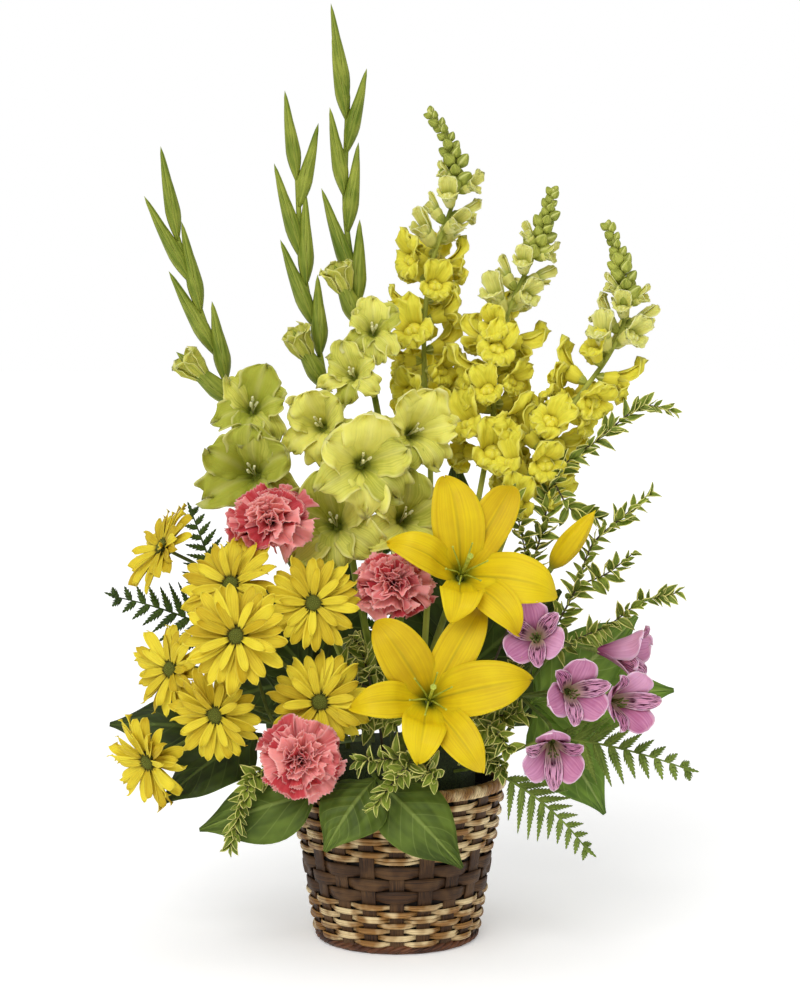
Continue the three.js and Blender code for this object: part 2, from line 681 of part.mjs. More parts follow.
// ---- Gladioli ----
// A bud is [height of its root on the stem, its tip], the top one last.
const GLADIOLUS = { radius: 3.4, sleeve: 2.4, tube: 26 };
const gladioli = [
  {
    name: 'left',
    foot: [-24, 32],
    route: [
      vec(-72, 38, 290), vec(-122, 38, 405), vec(-141, 36, 455), vec(-165, 36, 522), vec(-184, 36, 584),
    ],
    blooms: [
      { at: vec(-119, 12, 433), facing: vec(0.05, -0.9, 0.35), size: 0.76 },
      { at: vec(-117, 20, 381), facing: vec(-0.1, -0.95, 0.2), size: 0.95 },
    ],
    cup: [440, vec(-183, 22, 484)],
    buds: [
      [458, vec(-154, 34, 526)],
      [482, vec(-190, 36, 551)],
      [516, vec(-179, 36, 592)],
      [542, vec(-210, 36, 613)],
      [576, vec(-196, 36, 654)],
    ],
  },
  {
    name: 'middle',
    foot: [-10, 36],
    route: [
      vec(-34, 36, 290), vec(-52, 32, 400), vec(-62, 32, 470), vec(-71, 34, 515), vec(-79, 36, 560),
      vec(-83, 36, 634),
    ],
    blooms: [
      { at: vec(-60, 12, 421), facing: vec(-0.2, -0.9, 0.2), size: 0.74 },
      { at: vec(-30, -18, 392), facing: vec(0.15, -0.95, 0.15), size: 1 },
      { at: vec(-49, 2, 340), facing: vec(-0.1, -0.95, 0.25), size: 0.98 },
    ],
    cup: [454, vec(-86, 16, 502)],
    buds: [
      [480, vec(-66, 32, 548)],
      [506, vec(-97, 34, 577)],
      [538, vec(-76, 36, 617)],
      [562, vec(-102, 36, 640)],
      [604, vec(-65, 36, 673)],
      [626, vec(-93, 38, 700)],
    ],
  },
  {
    name: 'right',
    foot: [8, 40],
    route: [
      vec(0, 42, 290), vec(-14, 42, 420), vec(-32, 40, 510), vec(-36, 42, 545), vec(-43, 44, 600),
      vec(-41, 48, 694),
    ],
    blooms: [
      { at: vec(-20, 14, 497), facing: vec(0.05, -0.93, 0.35), size: 0.62 },
      { at: vec(-34, 10, 462), facing: vec(-0.2, -0.9, 0.3), size: 0.58 },
      { at: vec(8, 8, 415), facing: vec(0.35, -0.88, 0.2), size: 0.82 },
      { at: vec(2, 0, 344), facing: vec(0.25, -0.93, 0.3), size: 0.88 },
    ],
    cup: [506, vec(-52, 26, 556)],
    buds: [
      [522, vec(-31, 40, 594)],
      [540, vec(-63, 42, 620)],
      [584, vec(-32, 44, 658)],
      [614, vec(-56, 46, 687)],
      [650, vec(-25, 46, 719)],
      [677, vec(-54, 48, 747)],
      [688, vec(-55, 50, 773)],
    ],
  },
];

// A bloom on the +Z axis, its tube coming from the stem at root.
function gladiolusBloom(size, root) {
  return whorl({
    petals: 6,
    ring: [1.2, root.z],
    aside: [root.x, root.y],
    notch: [7 * size, 14 * size],
    wave: 1.6,
    petal: (k) => {
      const inner = k % 2;
      const long = size * between(0.93, 1.05);
      const lift = inner * 1.5 + between(-2, 2);
      return {
        stations: [[26 * long, (31 + lift) * size, (inner ? 18 : 15.5) * size, 2]],
        tip: [41 * long, (35 + lift) * size, (inner ? 8 : 6) * size],
      };
    },
  });
}

// The share of a curve's length at which it reaches a height.
function shareAtHeight(curve, z) {
  let share = 0.5;
  for (let step = 0.25; step > 0.0005; step /= 2) share += (curve.getPointAt(share).z < z ? step : -step);
  return share;
}

for (const plant of gladioli) {
  const curve = stemCurve(plant.foot, plant.route);
  const onStem = (z) => curve.getPointAt(shareAtHeight(curve, z));
  const heights = plant.blooms.map(({ at, size }) => at.z - GLADIOLUS.tube * size);
  const low = shareAtHeight(curve, Math.min(...heights) - 8);
  const high = shareAtHeight(curve, Math.max(...heights) + 8);
  const rest = 1 - high;
  const shares = [0, low * 0.5, low, (low + high) / 2, high, high + rest * 0.4, high + rest * 0.7, 1];
  const { run, body } = standing(stemCentres(plant.foot, curve, shares), GLADIOLUS.radius);
  const up = vec(0, -1, 0);
  const cup = blade({
    root: onStem(plant.cup[0]),
    tip: plant.cup[1],
    up,
    half: 9.5,
    thickness: 13,
    outline: [[0.4, 0.7], [0.88, 1]],
  });
  const buds = plant.buds.map(([z, tip], i) => blade({
    root: onStem(z),
    tip,
    up,
    half: 7.2 - i * 0.25,
    thickness: 10 - i * 0.4,
    outline: [[0.38, 1]],
  }));
  node(`gladiolus_${plant.name}_stem`, join([body, cup, ...buds]), MATERIALS.gladiolusStem);
  const parts = [sweep(run.frames.slice(3, 6), GLADIOLUS.radius + GLADIOLUS.sleeve)];
  for (const bloom of plant.blooms) {
    const turn = new THREE.Quaternion().setFromUnitVectors(vec(0, 0, 1), bloom.facing.normalize());
    const root = onStem(bloom.at.z - GLADIOLUS.tube * bloom.size).sub(bloom.at).applyQuaternion(turn.invert());
    root.addScaledVector(root.clone().normalize(), -GLADIOLUS.radius - 0.4);
    parts.push(placed(gladiolusBloom(bloom.size, root), bloom.at, bloom.facing));
  }
  const bore = sweep(run.frames.slice(2, 7), GLADIOLUS.radius + STEM_GAP);
  node(`gladiolus_${plant.name}_blooms`, join(parts).subtract(bore), MATERIALS.gladiolusPetal);
}

// ---- Snapdragons ----
// heights: where the open florets begin, where they end, and where the half-open ones end and the
// green buds begin.
const SNAPDRAGON = { radius: 2.3, sleeve: 2.2, florets: 13, half: 8, buds: 11 };
const GOLDEN_TURN = 2.39996;
const snapdragons = [
  {
    name: 'left', foot: [18, 38], heights: [432, 566, 612],
    route: [
      vec(27, 56, 300), vec(28, 57, 393), vec(24, 58, 446), vec(23, 58, 502), vec(29, 58, 557),
      vec(42, 58, 594), vec(50, 58, 623), vec(42, 58, 661), vec(26, 58, 686),
    ],
  },
  {
    name: 'middle', foot: [32, 22], heights: [398, 508, 556],
    route: [
      vec(60, 22, 320), vec(75, 22, 401), vec(80, 23, 432), vec(81, 24, 477), vec(87, 24, 502),
      vec(98, 24, 531), vec(114, 24, 566), vec(123, 24, 591), vec(129, 24, 618),
    ],
  },
  {
    name: 'right', foot: [43, 6], heights: [362, 478, 516],
    route: [
      vec(80, -8, 310), vec(101, -11, 363), vec(124, -6, 412), vec(150, -2, 449), vec(173, -2, 481),
      vec(186, -2, 510), vec(187, -2, 534), vec(182, -2, 557), vec(171, -2, 590),
    ],
  },
];

// A floret: a pouched tube that opens in an upper lip of two lobes and a lower lip of three.
function snapFloret(size) {
  const ringAt = (radii, heights) => radii.map((r, j) => {
    const angle = (j * 2 * Math.PI) / radii.length;
    return vec(r * Math.cos(angle), r * Math.sin(angle), heights[j]);
  });
  const belly = ringAt([5.6, 5, 5.6, 6.4, 6.4], [16, 16, 15, 14, 15]);
  const lips = ringAt([12.5, 16, 11, 16, 15.5], [23, 30, 21, 26, 24]);
  return loft([belly, lips], vec(0, 0, 0), vec(0, 0, 19)).scale([size, size, size]);
}

function outwards(way, turn, rise) {
  const side = vec(0, -1, 0).cross(way).normalize();
  const front = way.clone().cross(side).normalize();
  return side.multiplyScalar(Math.sin(turn))
    .addScaledVector(front, Math.cos(turn))
    .addScaledVector(way, rise)
    .normalize();
}

// A bud or half-open floret standing off the stem.
function spindle({ centre, way }, turn, rise, length, width) {
  const out = outwards(way, turn, rise);
  const root = centre.clone().addScaledVector(out, 0.8);
  const tip = root.clone().addScaledVector(out, length);
  return blade({ root, tip, up: way, half: width, thickness: width * 2, outline: [[0.62, 1]] });
}

for (const plant of snapdragons) {
  const curve = stemCurve(plant.foot, plant.route);
  const [low, middle, high] = plant.heights.map((z) => shareAtHeight(curve, z));
  const rest = 1 - high;
  const shares = [
    0, low * 0.5, low, (low + middle) / 2, middle, high, high + rest * 0.35, high + rest * 0.7, 1,
  ];
  const { run, body } = standing(stemCentres(plant.foot, curve, shares), SNAPDRAGON.radius);
  const at = (share) => run.at(FOOT_DEPTH + (run.length - FOOT_DEPTH) * share);
  const stem = [body];
  for (let i = 0; i < SNAPDRAGON.buds; i += 1) {
    const share = i / (SNAPDRAGON.buds - 1);
    const length = 19 - 6 * share;
    stem.push(spindle(at(high + rest * (0.06 + 0.92 * share)), i * GOLDEN_TURN, 1.2, length, length * 0.36));
  }
  node(`snapdragon_${plant.name}_stem`, join(stem), MATERIALS.snapdragonStem);
  const parts = [sweep(run.frames.slice(3, 7), SNAPDRAGON.radius + SNAPDRAGON.sleeve)];
  for (let i = 0; i < SNAPDRAGON.florets; i += 1) {
    const share = i / (SNAPDRAGON.florets - 1);
    const { centre, way } = at(low + 0.01 + (middle - low - 0.01) * share);
    parts.push(placed(snapFloret(1.24 - 0.22 * share), centre, outwards(way, i * GOLDEN_TURN, 0.4)));
  }
  for (let i = 0; i < SNAPDRAGON.half; i += 1) {
    const share = middle + 0.02 + ((high - middle - 0.025) * i) / (SNAPDRAGON.half - 1);
    parts.push(spindle(at(share), (i + 0.4) * GOLDEN_TURN, 0.6, 38 - 1.8 * i, 8 - 0.35 * i));
  }
  const bore = sweep(run.frames.slice(2, 8), SNAPDRAGON.radius + STEM_GAP);
  node(`snapdragon_${plant.name}_florets`, join(parts).subtract(bore), MATERIALS.snapdragonPetal);
}

// ---- Greens ----
// Salal: broad leathery leaves with wavy edges and a drawn-out tip, on short stalks from a woody stem.
const SALAL = [[0.24, 0.66], [0.5, 1], [0.79, 0.58]];
const salal = [
  {
    name: 'salal_left', foot: [-66, 8, 146], stem: [vec(-96, 6, 160), vec(-114, 0, 168)],
    leaves: [
      { tip: vec(-238, 2, 176), up: vec(-0.1, -0.85, 0.5), half: 33 },
      { tip: vec(-192, -34, 116), up: vec(-0.4, -0.7, 0.6), half: 30 },
    ],
  },
  {
    name: 'salal_front', foot: [-16, -65, 146], stem: [vec(-20, -84, 152), vec(-16, -92, 148)],
    leaves: [
      { tip: vec(-56, -122, 97), up: vec(-0.2, -0.9, 0.4), half: 27 },
      { tip: vec(51, -122, 84), up: vec(0.1, -0.95, 0.3), half: 28 },
      { tip: vec(-157, -80, 105), up: vec(-0.2, -0.85, 0.5), half: 29, stalk: 0.32 },
    ],
  },
  {
    name: 'salal_right', foot: [66, 8, 146], stem: [vec(96, 2, 176), vec(112, -5, 197)],
    leaves: [
      { tip: vec(228, -8, 206), up: vec(0.2, -0.9, 0.4), half: 31 },
      { tip: vec(196, -20, 269), up: vec(0.2, -0.95, -0.2), half: 33 },
      { tip: vec(172, -4, 102), up: vec(0.3, -0.9, 0.2), half: 31 },
    ],
  },
  {
    name: 'salal_back_left', foot: [-38, 55, 150], stem: [vec(-62, 80, 186), vec(-72, 86, 204)],
    leaves: [
      { tip: vec(-150, 70, 290), up: vec(-0.3, 0.9, 0.2), half: 32 },
      { tip: vec(-96, 128, 108), up: vec(-0.2, 0.9, 0.4), half: 32 },
      { tip: vec(-44, 94, 320), up: vec(0, 1, -0.2), half: 33 },
      { tip: vec(-168, 74, 178), up: vec(-0.2, 0.95, 0.2), half: 32 },
      { tip: vec(8, 82, 232), up: vec(0.1, 1, 0.1), half: 32 },
    ],
  },
  {
    name: 'salal_back_right', foot: [34, 57, 150], stem: [vec(50, 84, 192), vec(56, 88, 208)],
    leaves: [
      { tip: vec(50, 74, 394), up: vec(0, 1, 0.1), half: 36 },
      { tip: vec(140, 70, 280), up: vec(0.3, 0.9, 0.1), half: 32 },
      { tip: vec(70, 130, 102), up: vec(0.1, 0.9, 0.4), half: 33 },
      { tip: vec(152, 78, 168), up: vec(0.2, 0.95, 0.2), half: 32 },
      { tip: vec(-4, 74, 300), up: vec(-0.1, 1, 0.1), half: 30 },
    ],
  },
];
for (const branch of salal) {
  const parts = [standing(plainStem(branch.foot, branch.stem, 3), 1.8).body];
  const end = branch.stem[branch.stem.length - 1];
  const root = end.clone().lerp(branch.stem[0], 0.12);
  const grow = ({ stalk = 0, ...leaf }) => {
    const neck = stalk ? [[0.03, 0.05], [stalk + 0.03, 0.06]] : [[0.03, 0.06]];
    const outline = [...neck, ...SALAL.map(([share, width]) => [stalk + (1 - stalk) * share, width])];
    return blade({ ...leaf, root, outline, arch: 9, cup: -4, wave: 2, thickness: 1.8 });
  };
  node(branch.name, join([...parts, ...branch.leaves.map(grow)]), MATERIALS.salal);
}

// Leatherleaf fern: one arched frond, its leaflets cut to the rib in a single outline.
const FERN = { leaflets: 7, arch: 10, thickness: 1.1, rib: 1.3 };
const ferns = [
  {
    name: 'fern_left', foot: [-60, 28, 148], route: [vec(-100, 26, 200), vec(-138, 16, 246)],
    tip: vec(-236, -6, 284), up: vec(0.1, -0.85, 0.5), half: 44,
    second: { tip: vec(-173, 36, 352), up: vec(0.1, -1, 0), half: 34, leaflets: 5 },
  },
  {
    name: 'fern_right', foot: [65, -16, 146], route: [vec(100, -24, 160), vec(126, -32, 172)],
    tip: vec(238, -60, 148), up: vec(0.1, -0.85, 0.5), half: 42,
  },
  {
    name: 'fern_front_right', foot: [48, -46, 146], route: [vec(74, -74, 156), vec(84, -84, 150)],
    tip: vec(151, -104, 92), up: vec(0.3, -0.8, 0.5), half: 40,
  },
  {
    name: 'fern_back', foot: [0, 67, 150], route: [vec(-4, 92, 184), vec(-8, 106, 214)],
    tip: vec(-14, 124, 330), up: vec(0, 1, -0.1), half: 46,
  },
];

function frond({ root, tip, up, half, leaflets = FERN.leaflets }) {
  const { length, side, normal, at } = midrib(root, tip, up, FERN.arch);
  const pitch = length / (leaflets + 1.2);
  const edge = [];
  for (let i = 0; i < leaflets; i += 1) {
    const from = pitch * (i + 0.45);
    const share = i / (leaflets - 1);
    const grown = half * (0.72 + 0.28 * Math.sin(Math.PI * Math.min(1, share * 2))) * (1 - 0.78 * share ** 1.6);
    edge.push([from, FERN.rib], [from + grown * 0.22, grown * 0.62]);
    edge.push([from + grown * 0.55, grown], [from + pitch * 0.72 + grown * 0.2, grown * 0.45]);
  }
  const outline = [
    [0, -FERN.rib],
    ...edge.map(([x, y]) => [x, -y]),
    [length, 0],
    ...edge.reverse(),
    [0, FERN.rib],
  ];
  const shape = new THREE.Shape(outline.map(([x, y]) => new THREE.Vector2(x, y)));
  const geometry = new THREE.ExtrudeGeometry(shape, { depth: FERN.thickness, bevelEnabled: false });
  const position = geometry.attributes.position;
  for (let i = 0; i < position.count; i += 1) {
    const across = position.getY(i);
    const point = at(position.getX(i) / length)
      .addScaledVector(side, -across)
      .addScaledVector(normal, position.getZ(i) - FERN.thickness / 2 - Math.abs(across) * 0.18);
    position.setXYZ(i, point.x, point.y, point.z);
  }
  return solid(geometry);
}

for (const fern of ferns) {
  const base = fern.route[fern.route.length - 1];
  const root = base.clone().lerp(fern.tip, 0.05);
  const { at } = midrib(root, fern.tip, fern.up, FERN.arch);
  const route = [...fern.route, at(0.03), at(0.1)];
  const parts = [standing(plainStem(fern.foot, route, 6), 1.4).body, frond({ ...fern, root })];
  if (fern.second) {
    const fork = fern.route[0].clone().lerp(base, 0.7);
    const start = fork.clone().lerp(fern.second.tip, 0.35);
    const arm = midrib(start, fern.second.tip, fern.second.up, FERN.arch);
    parts.push(rod([fork, arm.at(0.02), arm.at(0.12)], 1.2, 3, 3));
    parts.push(frond({ ...fern.second, root: start }));
  }
  node(fern.name, join(parts), MATERIALS.fern);
}

// Variegated boxwood: small oval leaves in crossed pairs along thin woody twigs. A leaf that would
// press on a flower or on other green isn't grown.
const BOX_LEAF = { length: 20, half: 4.6, spacing: 15.5, bare: 24, guard: 0.9 };
const boxwood = [
  {
    name: 'boxwood_right_top', foot: [54, -6],
    twigs: [
      [
        vec(106, -26, 300), vec(119, -28, 345), vec(128, -26, 384), vec(164, -24, 414), vec(200, -18, 440),
        vec(222, -14, 437),
      ],
      [vec(108, -27, 306), vec(100, -38, 340), vec(92, -42, 372)],
      [vec(128, -27, 380), vec(142, -30, 356), vec(162, -30, 350)],
    ],
  },
  {
    name: 'boxwood_right_low', foot: [63, -24, 152],
    twigs: [
      [vec(112, -30, 232), vec(144, -38, 292), vec(158, -40, 330), vec(182, -42, 352), vec(200, -42, 368)],
      [vec(116, -31, 240), vec(171, -50, 266), vec(196, -56, 285), vec(222, -60, 292)],
      [vec(146, -38, 296), vec(168, -46, 306), vec(188, -50, 322)],
    ],
  },
  {
    name: 'boxwood_front', foot: [14, -66, 150],
    twigs: [
      [vec(16, -100, 168), vec(4, -122, 160), vec(-18, -134, 134)],
      [vec(15, -98, 167), vec(30, -128, 156)],
      [vec(14, -104, 168), vec(-30, -120, 168)],
    ],
  },
  {
    name: 'boxwood_left', foot: [-60, -28, 148],
    twigs: [
      [vec(-84, -60, 156), vec(-112, -86, 150), vec(-131, -104, 98)],
      [vec(-86, -60, 156), vec(-104, -88, 172)],
    ],
  },
  {
    name: 'boxwood_middle_right', foot: [28, -36],
    twigs: [
      [vec(64, -62, 200), vec(84, -86, 222), vec(92, -98, 240)],
      [vec(60, -60, 196), vec(80, -100, 184), vec(88, -112, 176)],
      [vec(62, -61, 198), vec(80, -74, 196), vec(98, -84, 200)],
      [vec(48, -52, 182), vec(66, -74, 168), vec(84, -90, 156)],
      [vec(46, -50, 180), vec(60, -50, 196), vec(70, -54, 222)],
      [vec(46, -50, 180), vec(62, -56, 168), vec(76, -60, 178)],
    ],
  },
  {
    name: 'boxwood_middle_left', foot: [-12, -30],
    twigs: [
      [vec(-22, -48, 220), vec(-30, -58, 250), vec(-36, -70, 258)],
      [vec(-21, -46, 214), vec(4, -60, 238), vec(12, -72, 254)],
      [vec(-20, -44, 205), vec(-4, -56, 214), vec(8, -62, 222)],
      [vec(-21, -46, 212), vec(-34, -58, 222), vec(-44, -66, 236)],
      [vec(-17, -39, 188), vec(-26, -58, 190), vec(-34, -72, 186)],
      [vec(-17, -39, 188), vec(-8, -56, 192), vec(-2, -70, 188)],
    ],
  },
];

// A leaf with a raised midrib above and a flat underside.
function boxLeaf(root, way, up, size, extra) {
  const length = BOX_LEAF.length * size + extra;
  const half = BOX_LEAF.half * size + extra;
  const { side, normal, at } = midrib(root, root.clone().addScaledVector(way, length), up, 0);
  const middle = at(0.55);
  return loft([[
    middle.clone().addScaledVector(side, half).addScaledVector(normal, -extra),
    middle.clone().addScaledVector(side, -half).addScaledVector(normal, -extra),
    middle.clone().addScaledVector(normal, BLADE + extra),
  ]], root, at(1));
}

function isClear(body) {
  const box = body.boundingBox();
  return [...bodies.values()].every((other) => {
    const far = other.boundingBox();
    const apart = [0, 1, 2].some((i) => box.max[i] < far.min[i] || far.max[i] < box.min[i]);
    return apart || body.intersect(other).isEmpty();
  });
}

function nearest(run, point) {
  let best = run.at(0).centre;
  for (let distance = 2; distance < run.length; distance += 2) {
    const { centre } = run.at(distance);
    if (centre.distanceTo(point) < best.distanceTo(point)) best = centre;
  }
  return best;
}

// The first twig stands in the foam and the others grow out of it.
for (const plant of boxwood) {
  const [mainTwig] = plant.twigs;
  const main = standing(plainStem(plant.foot, mainTwig, 8), 1.3);
  const parts = [main.body];
  for (const [t, twig] of plant.twigs.entries()) {
    const [start, ...rest] = twig;
    const run = t ? runOf(curveThrough([nearest(main.run, start), ...rest]).getSpacedPoints(3)) : main.run;
    if (t) parts.push(sweep(run.frames, 1, 3));
    const bare = t ? 6 : run.length - curveThrough(twig).getLength() + BOX_LEAF.bare;
    const pairs = Math.floor((run.length - bare) / BOX_LEAF.spacing);
    for (let i = 0; i <= pairs; i += 1) {
      const { centre, way } = run.at(run.length - 0.5 - i * BOX_LEAF.spacing);
      const size = Math.min(1.1, 0.75 + i * 0.12);
      for (const half of i ? [0, Math.PI] : [0]) {
        const out = i ? outwards(way, i * 1.3 + half, 0.75) : way;
        const up = i ? way : vec(0, -1, 0);
        const guard = boxLeaf(centre, out, up, size, BOX_LEAF.guard);
        if (isClear(guard)) parts.push(boxLeaf(centre, out, up, size, 0));
      }
    }
  }
  node(plant.name, join(parts), MATERIALS.boxwood);
}

// The foam comes last, bored for every stem that stands in it.
node('floral_foam', foam().subtract(join(holes)), MATERIALS.foam);

export default arrangement;
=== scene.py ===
"""A florist's one-sided basket arrangement, dressed for the studio.

Each section below makes one piece, or one group of like pieces, in the order in which a florist puts
the arrangement together. Lengths are in millimetres until a piece is set in place.
"""

import random
from math import cos, exp, pi, radians, sin, sqrt, tanh, tau

import bpy
from mathutils import Matrix, Vector


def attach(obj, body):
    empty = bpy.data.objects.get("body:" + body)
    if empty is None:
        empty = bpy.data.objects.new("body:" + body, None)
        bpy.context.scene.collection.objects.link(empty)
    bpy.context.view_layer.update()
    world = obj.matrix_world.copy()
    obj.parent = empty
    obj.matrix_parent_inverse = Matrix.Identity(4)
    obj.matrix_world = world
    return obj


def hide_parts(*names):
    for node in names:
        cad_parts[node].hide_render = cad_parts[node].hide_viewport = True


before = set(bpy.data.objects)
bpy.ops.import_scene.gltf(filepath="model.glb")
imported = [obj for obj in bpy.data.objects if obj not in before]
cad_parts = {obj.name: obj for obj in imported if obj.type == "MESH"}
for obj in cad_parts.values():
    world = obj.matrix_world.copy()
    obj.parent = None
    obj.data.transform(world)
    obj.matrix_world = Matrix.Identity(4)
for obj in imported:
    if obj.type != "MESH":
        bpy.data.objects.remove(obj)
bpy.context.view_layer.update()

# ---- Camera, light and floor ----
# The arrangement stands on a plain white floor in a bright studio. One large soft light shines from
# the front, a little from the left, and one from above, and they leave only a faint shadow.
scene = bpy.context.scene
scene.view_settings.view_transform = "Standard"

CAMERA_DIP = radians(4.05)
camera = bpy.data.objects.new("camera", bpy.data.cameras.new("camera"))
camera.data.lens = 83.4
camera.data.sensor_width = 36
camera.location = (0.0025, -1.9, 0.497)
camera.rotation_euler = (radians(90) - CAMERA_DIP, 0, 0)
scene.collection.objects.link(camera)
scene.camera = camera

GLOW_ON_FLOWERS = 0.41
GLOW_IN_VIEW = 1.0
world = bpy.data.worlds.new("studio")
world.use_nodes = True
nodes, links = world.node_tree.nodes, world.node_tree.links
seen = nodes.new("ShaderNodeLightPath")
glow = nodes.new("ShaderNodeMix")
glow.inputs["A"].default_value = GLOW_ON_FLOWERS
glow.inputs["B"].default_value = GLOW_IN_VIEW
links.new(seen.outputs["Is Camera Ray"], glow.inputs["Factor"])
links.new(glow.outputs["Result"], nodes["Background"].inputs["Strength"])
nodes["Background"].inputs["Color"].default_value = (1, 1, 1, 1)
scene.world = world


def soft_light(name, place, softness, strength):
    """A far, wide light that shines from a place towards the arrangement."""
    lamp = bpy.data.lights.new(name, "SUN")
    lamp.angle = radians(softness)
    lamp.energy = strength
    piece = bpy.data.objects.new(name, lamp)
    piece.rotation_euler = (-Vector(place)).to_track_quat("-Z", "Y").to_euler()
    scene.collection.objects.link(piece)


soft_light("key_light", (-0.28, -1.0, 0.78), 36, 1.48)
soft_light("top_light", (0.0, -0.1, 1.0), 70, 0.6)


class Tone:
    """A value in a finish's nodes. Sums and products of tones add Math nodes."""

    def __init__(self, finish, socket):
        self.finish = finish
        self.socket = socket

    def math(self, operation, second=0.0):
        return self.finish.node("Math", {0: self, 1: second}, operation=operation)

    def __add__(self, other):
        return self.math("ADD", other)

    def __sub__(self, other):
        return self.math("SUBTRACT", other)

    def __mul__(self, other):
        return self.math("MULTIPLY", other)

    def __abs__(self):
        return self.math("ABSOLUTE")

    def sine(self):
        return self.math("SINE")

    def between(self, low, high):
        """0 below low and 1 above high, with a smooth step between them."""
        limits = {"Value": self, "From Min": low, "From Max": high}
        return self.finish.node("MapRange", limits, interpolation_type="SMOOTHSTEP")

    __radd__ = __add__
    __rmul__ = __mul__


def shade(code):
    """A colour for the shader from its usual six-figure code."""
    parts = [int(code[i : i + 2], 16) / 255 for i in (0, 2, 4)]
    return (*[p / 12.92 if p < 0.04045 else ((p + 0.055) / 1.055) ** 2.4 for p in parts], 1)


class Finish:
    """A material on one shader. node() adds every other node, and gives the tone at its output."""

    def __init__(self, name, **constants):
        self.material = bpy.data.materials.new(name)
        self.material.use_nodes = True
        self.tree = self.material.node_tree
        self.shader = self.tree.nodes["Principled BSDF"]
        self.wears(**constants)

    def put(self, socket, value):
        if isinstance(value, Tone):
            self.tree.links.new(value.socket, socket)
        else:
            socket.default_value = shade(value) if isinstance(value, str) else value

    def node(self, kind, sockets=(), output=0, **settings):
        made = self.tree.nodes.new("ShaderNode" + kind)
        for key, value in settings.items():
            setattr(made, key, value)
        for key, value in dict(sockets).items():
            self.put(made.inputs[key], value)
        return Tone(self, made.outputs[output])

    def wears(self, **looks):
        """Puts tones or constants on the shader, such as Base_Color=tone."""
        for socket, value in looks.items():
            self.put(self.shader.inputs[socket.replace("_", " ")], value)

    def paint(self, colour, *layers):
        """Colours the shader. Each layer is how far it covers, and the colour that it lays on top."""
        for cover, top in layers:
            colour = self.node("Mix", {0: cover, 6: colour, 7: top}, 2, data_type="RGBA")
        self.colour = colour
        self.wears(Base_Color=colour)

    def from_rib(self):
        """How far a point of a sheet is from its middle line, from 0 to 0.5."""
        return abs(self.node("SeparateXYZ", {0: self.node("UVMap")}, 0) - 0.5)

    def along(self):
        """How far along a sheet a point is, from 0 to 1."""
        return self.node("SeparateXYZ", {0: self.node("UVMap")}, 1)

    def speckle(self, scale, detail=2.0, vector=None, stretch=(1, 1, 1)):
        """Noise from 0 to 1, on the object's own coordinates in metres or on the given ones."""
        vector = vector or self.node("TexCoord", output="Object")
        vector = self.node("Mapping", {"Vector": vector, "Scale": stretch})
        return self.node("TexNoise", {"Vector": vector, "Scale": scale, "Detail": detail})

    def streaks(self, across, along, detail=2.0):
        """Noise drawn out along a sheet, as fibres and veins are."""
        return self.speckle(1.0, detail, self.node("UVMap"), (across, along, 1))

    def tint(self):
        """The lightness that each part got when it was copied or moved."""
        return self.node("Attribute", output="Fac", attribute_name="tint")

    def raised(self, height, distance, strength):
        bump = {"Height": height, "Distance": distance, "Strength": strength}
        self.wears(Normal=self.node("Bump", bump))


bpy.ops.object.select_all(action="DESELECT")
bpy.ops.mesh.primitive_grid_add(x_subdivisions=2, y_subdivisions=2, size=60, location=(0, 0, -0.0004))
floor = bpy.context.object
floor.name = "floor"
white_sweep = Finish("white_sweep", Roughness=0.9, Specular_IOR_Level=0.0, Emission_Color="ffffff",
                     Emission_Strength=0.27)
white_sweep.paint("fafafa", (white_sweep.speckle(3.0), "ffffff"))
floor.data.materials.append(white_sweep.material)

# ---- Basket stakes ----
# Twenty upright stakes of flat, stained bamboo stand round the wall, and the strips pass in front of
# and behind them. They taper towards the foot, where the basket is narrower.
BASKET_HEIGHT = 136
FOOT_RADIUS = 65
RIM_RADIUS = 88.5
STAKES = 20
STAKE_WIDTH = 13.5


def wall_radius(z):
    return FOOT_RADIUS + (RIM_RADIUS - FOOT_RADIUS) * z / BASKET_HEIGHT


def spun(angle, axis="Z"):
    return Matrix.Rotation(angle, 4, axis)


def only(*pieces):
    """Selects these pieces alone, with the first one active."""
    bpy.ops.object.select_all(action="DESELECT")
    for piece in pieces:
        piece.select_set(True)
    bpy.context.view_layer.objects.active = pieces[0]


def sheet(across, along, place):
    """A grid whose points are put where place(u, v) says, u from -1 to 1 across, v from 0 to 1 along."""
    bpy.ops.object.select_all(action="DESELECT")
    bpy.ops.mesh.primitive_grid_add(x_subdivisions=across, y_subdivisions=along, size=2)
    piece = bpy.context.object
    for vertex in piece.data.vertices:
        vertex.co = place(vertex.co.x, (vertex.co.y + 1) / 2)
    return piece


def smoothed(piece):
    only(piece)
    bpy.ops.object.shade_smooth()
    return piece


def thickened(piece, thickness):
    """The sheet as a closed shell, half of it on each side."""
    wall = piece.modifiers.new("thickness", "SOLIDIFY")
    wall.thickness = thickness
    wall.offset = 0.0
    only(piece)
    bpy.ops.object.modifier_apply(modifier=wall.name)
    return smoothed(piece)


def weld(piece, distance=0.01):
    only(piece)
    bpy.ops.object.mode_set(mode="EDIT")
    bpy.ops.mesh.select_all(action="SELECT")
    bpy.ops.mesh.remove_doubles(threshold=distance)
    bpy.ops.mesh.normals_make_consistent(inside=False)
    bpy.ops.object.mode_set(mode="OBJECT")
    return piece


def moved(piece, matrix=Matrix(), tint=0.5):
    """The piece itself, moved by the matrix. tint is its own lightness, about 0 to 1."""
    piece.data.transform(matrix)
    tints = piece.data.attributes.get("tint") or piece.data.attributes.new("tint", "FLOAT", "POINT")
    tints.data.foreach_set("value", [tint] * len(piece.data.vertices))
    return piece


def copied(piece, matrix=Matrix(), tint=0.5):
    """A copy with a mesh of its own, moved by the matrix."""
    twin = piece.copy()
    twin.data = piece.data.copy()
    scene.collection.objects.link(twin)
    return moved(twin, matrix, tint)


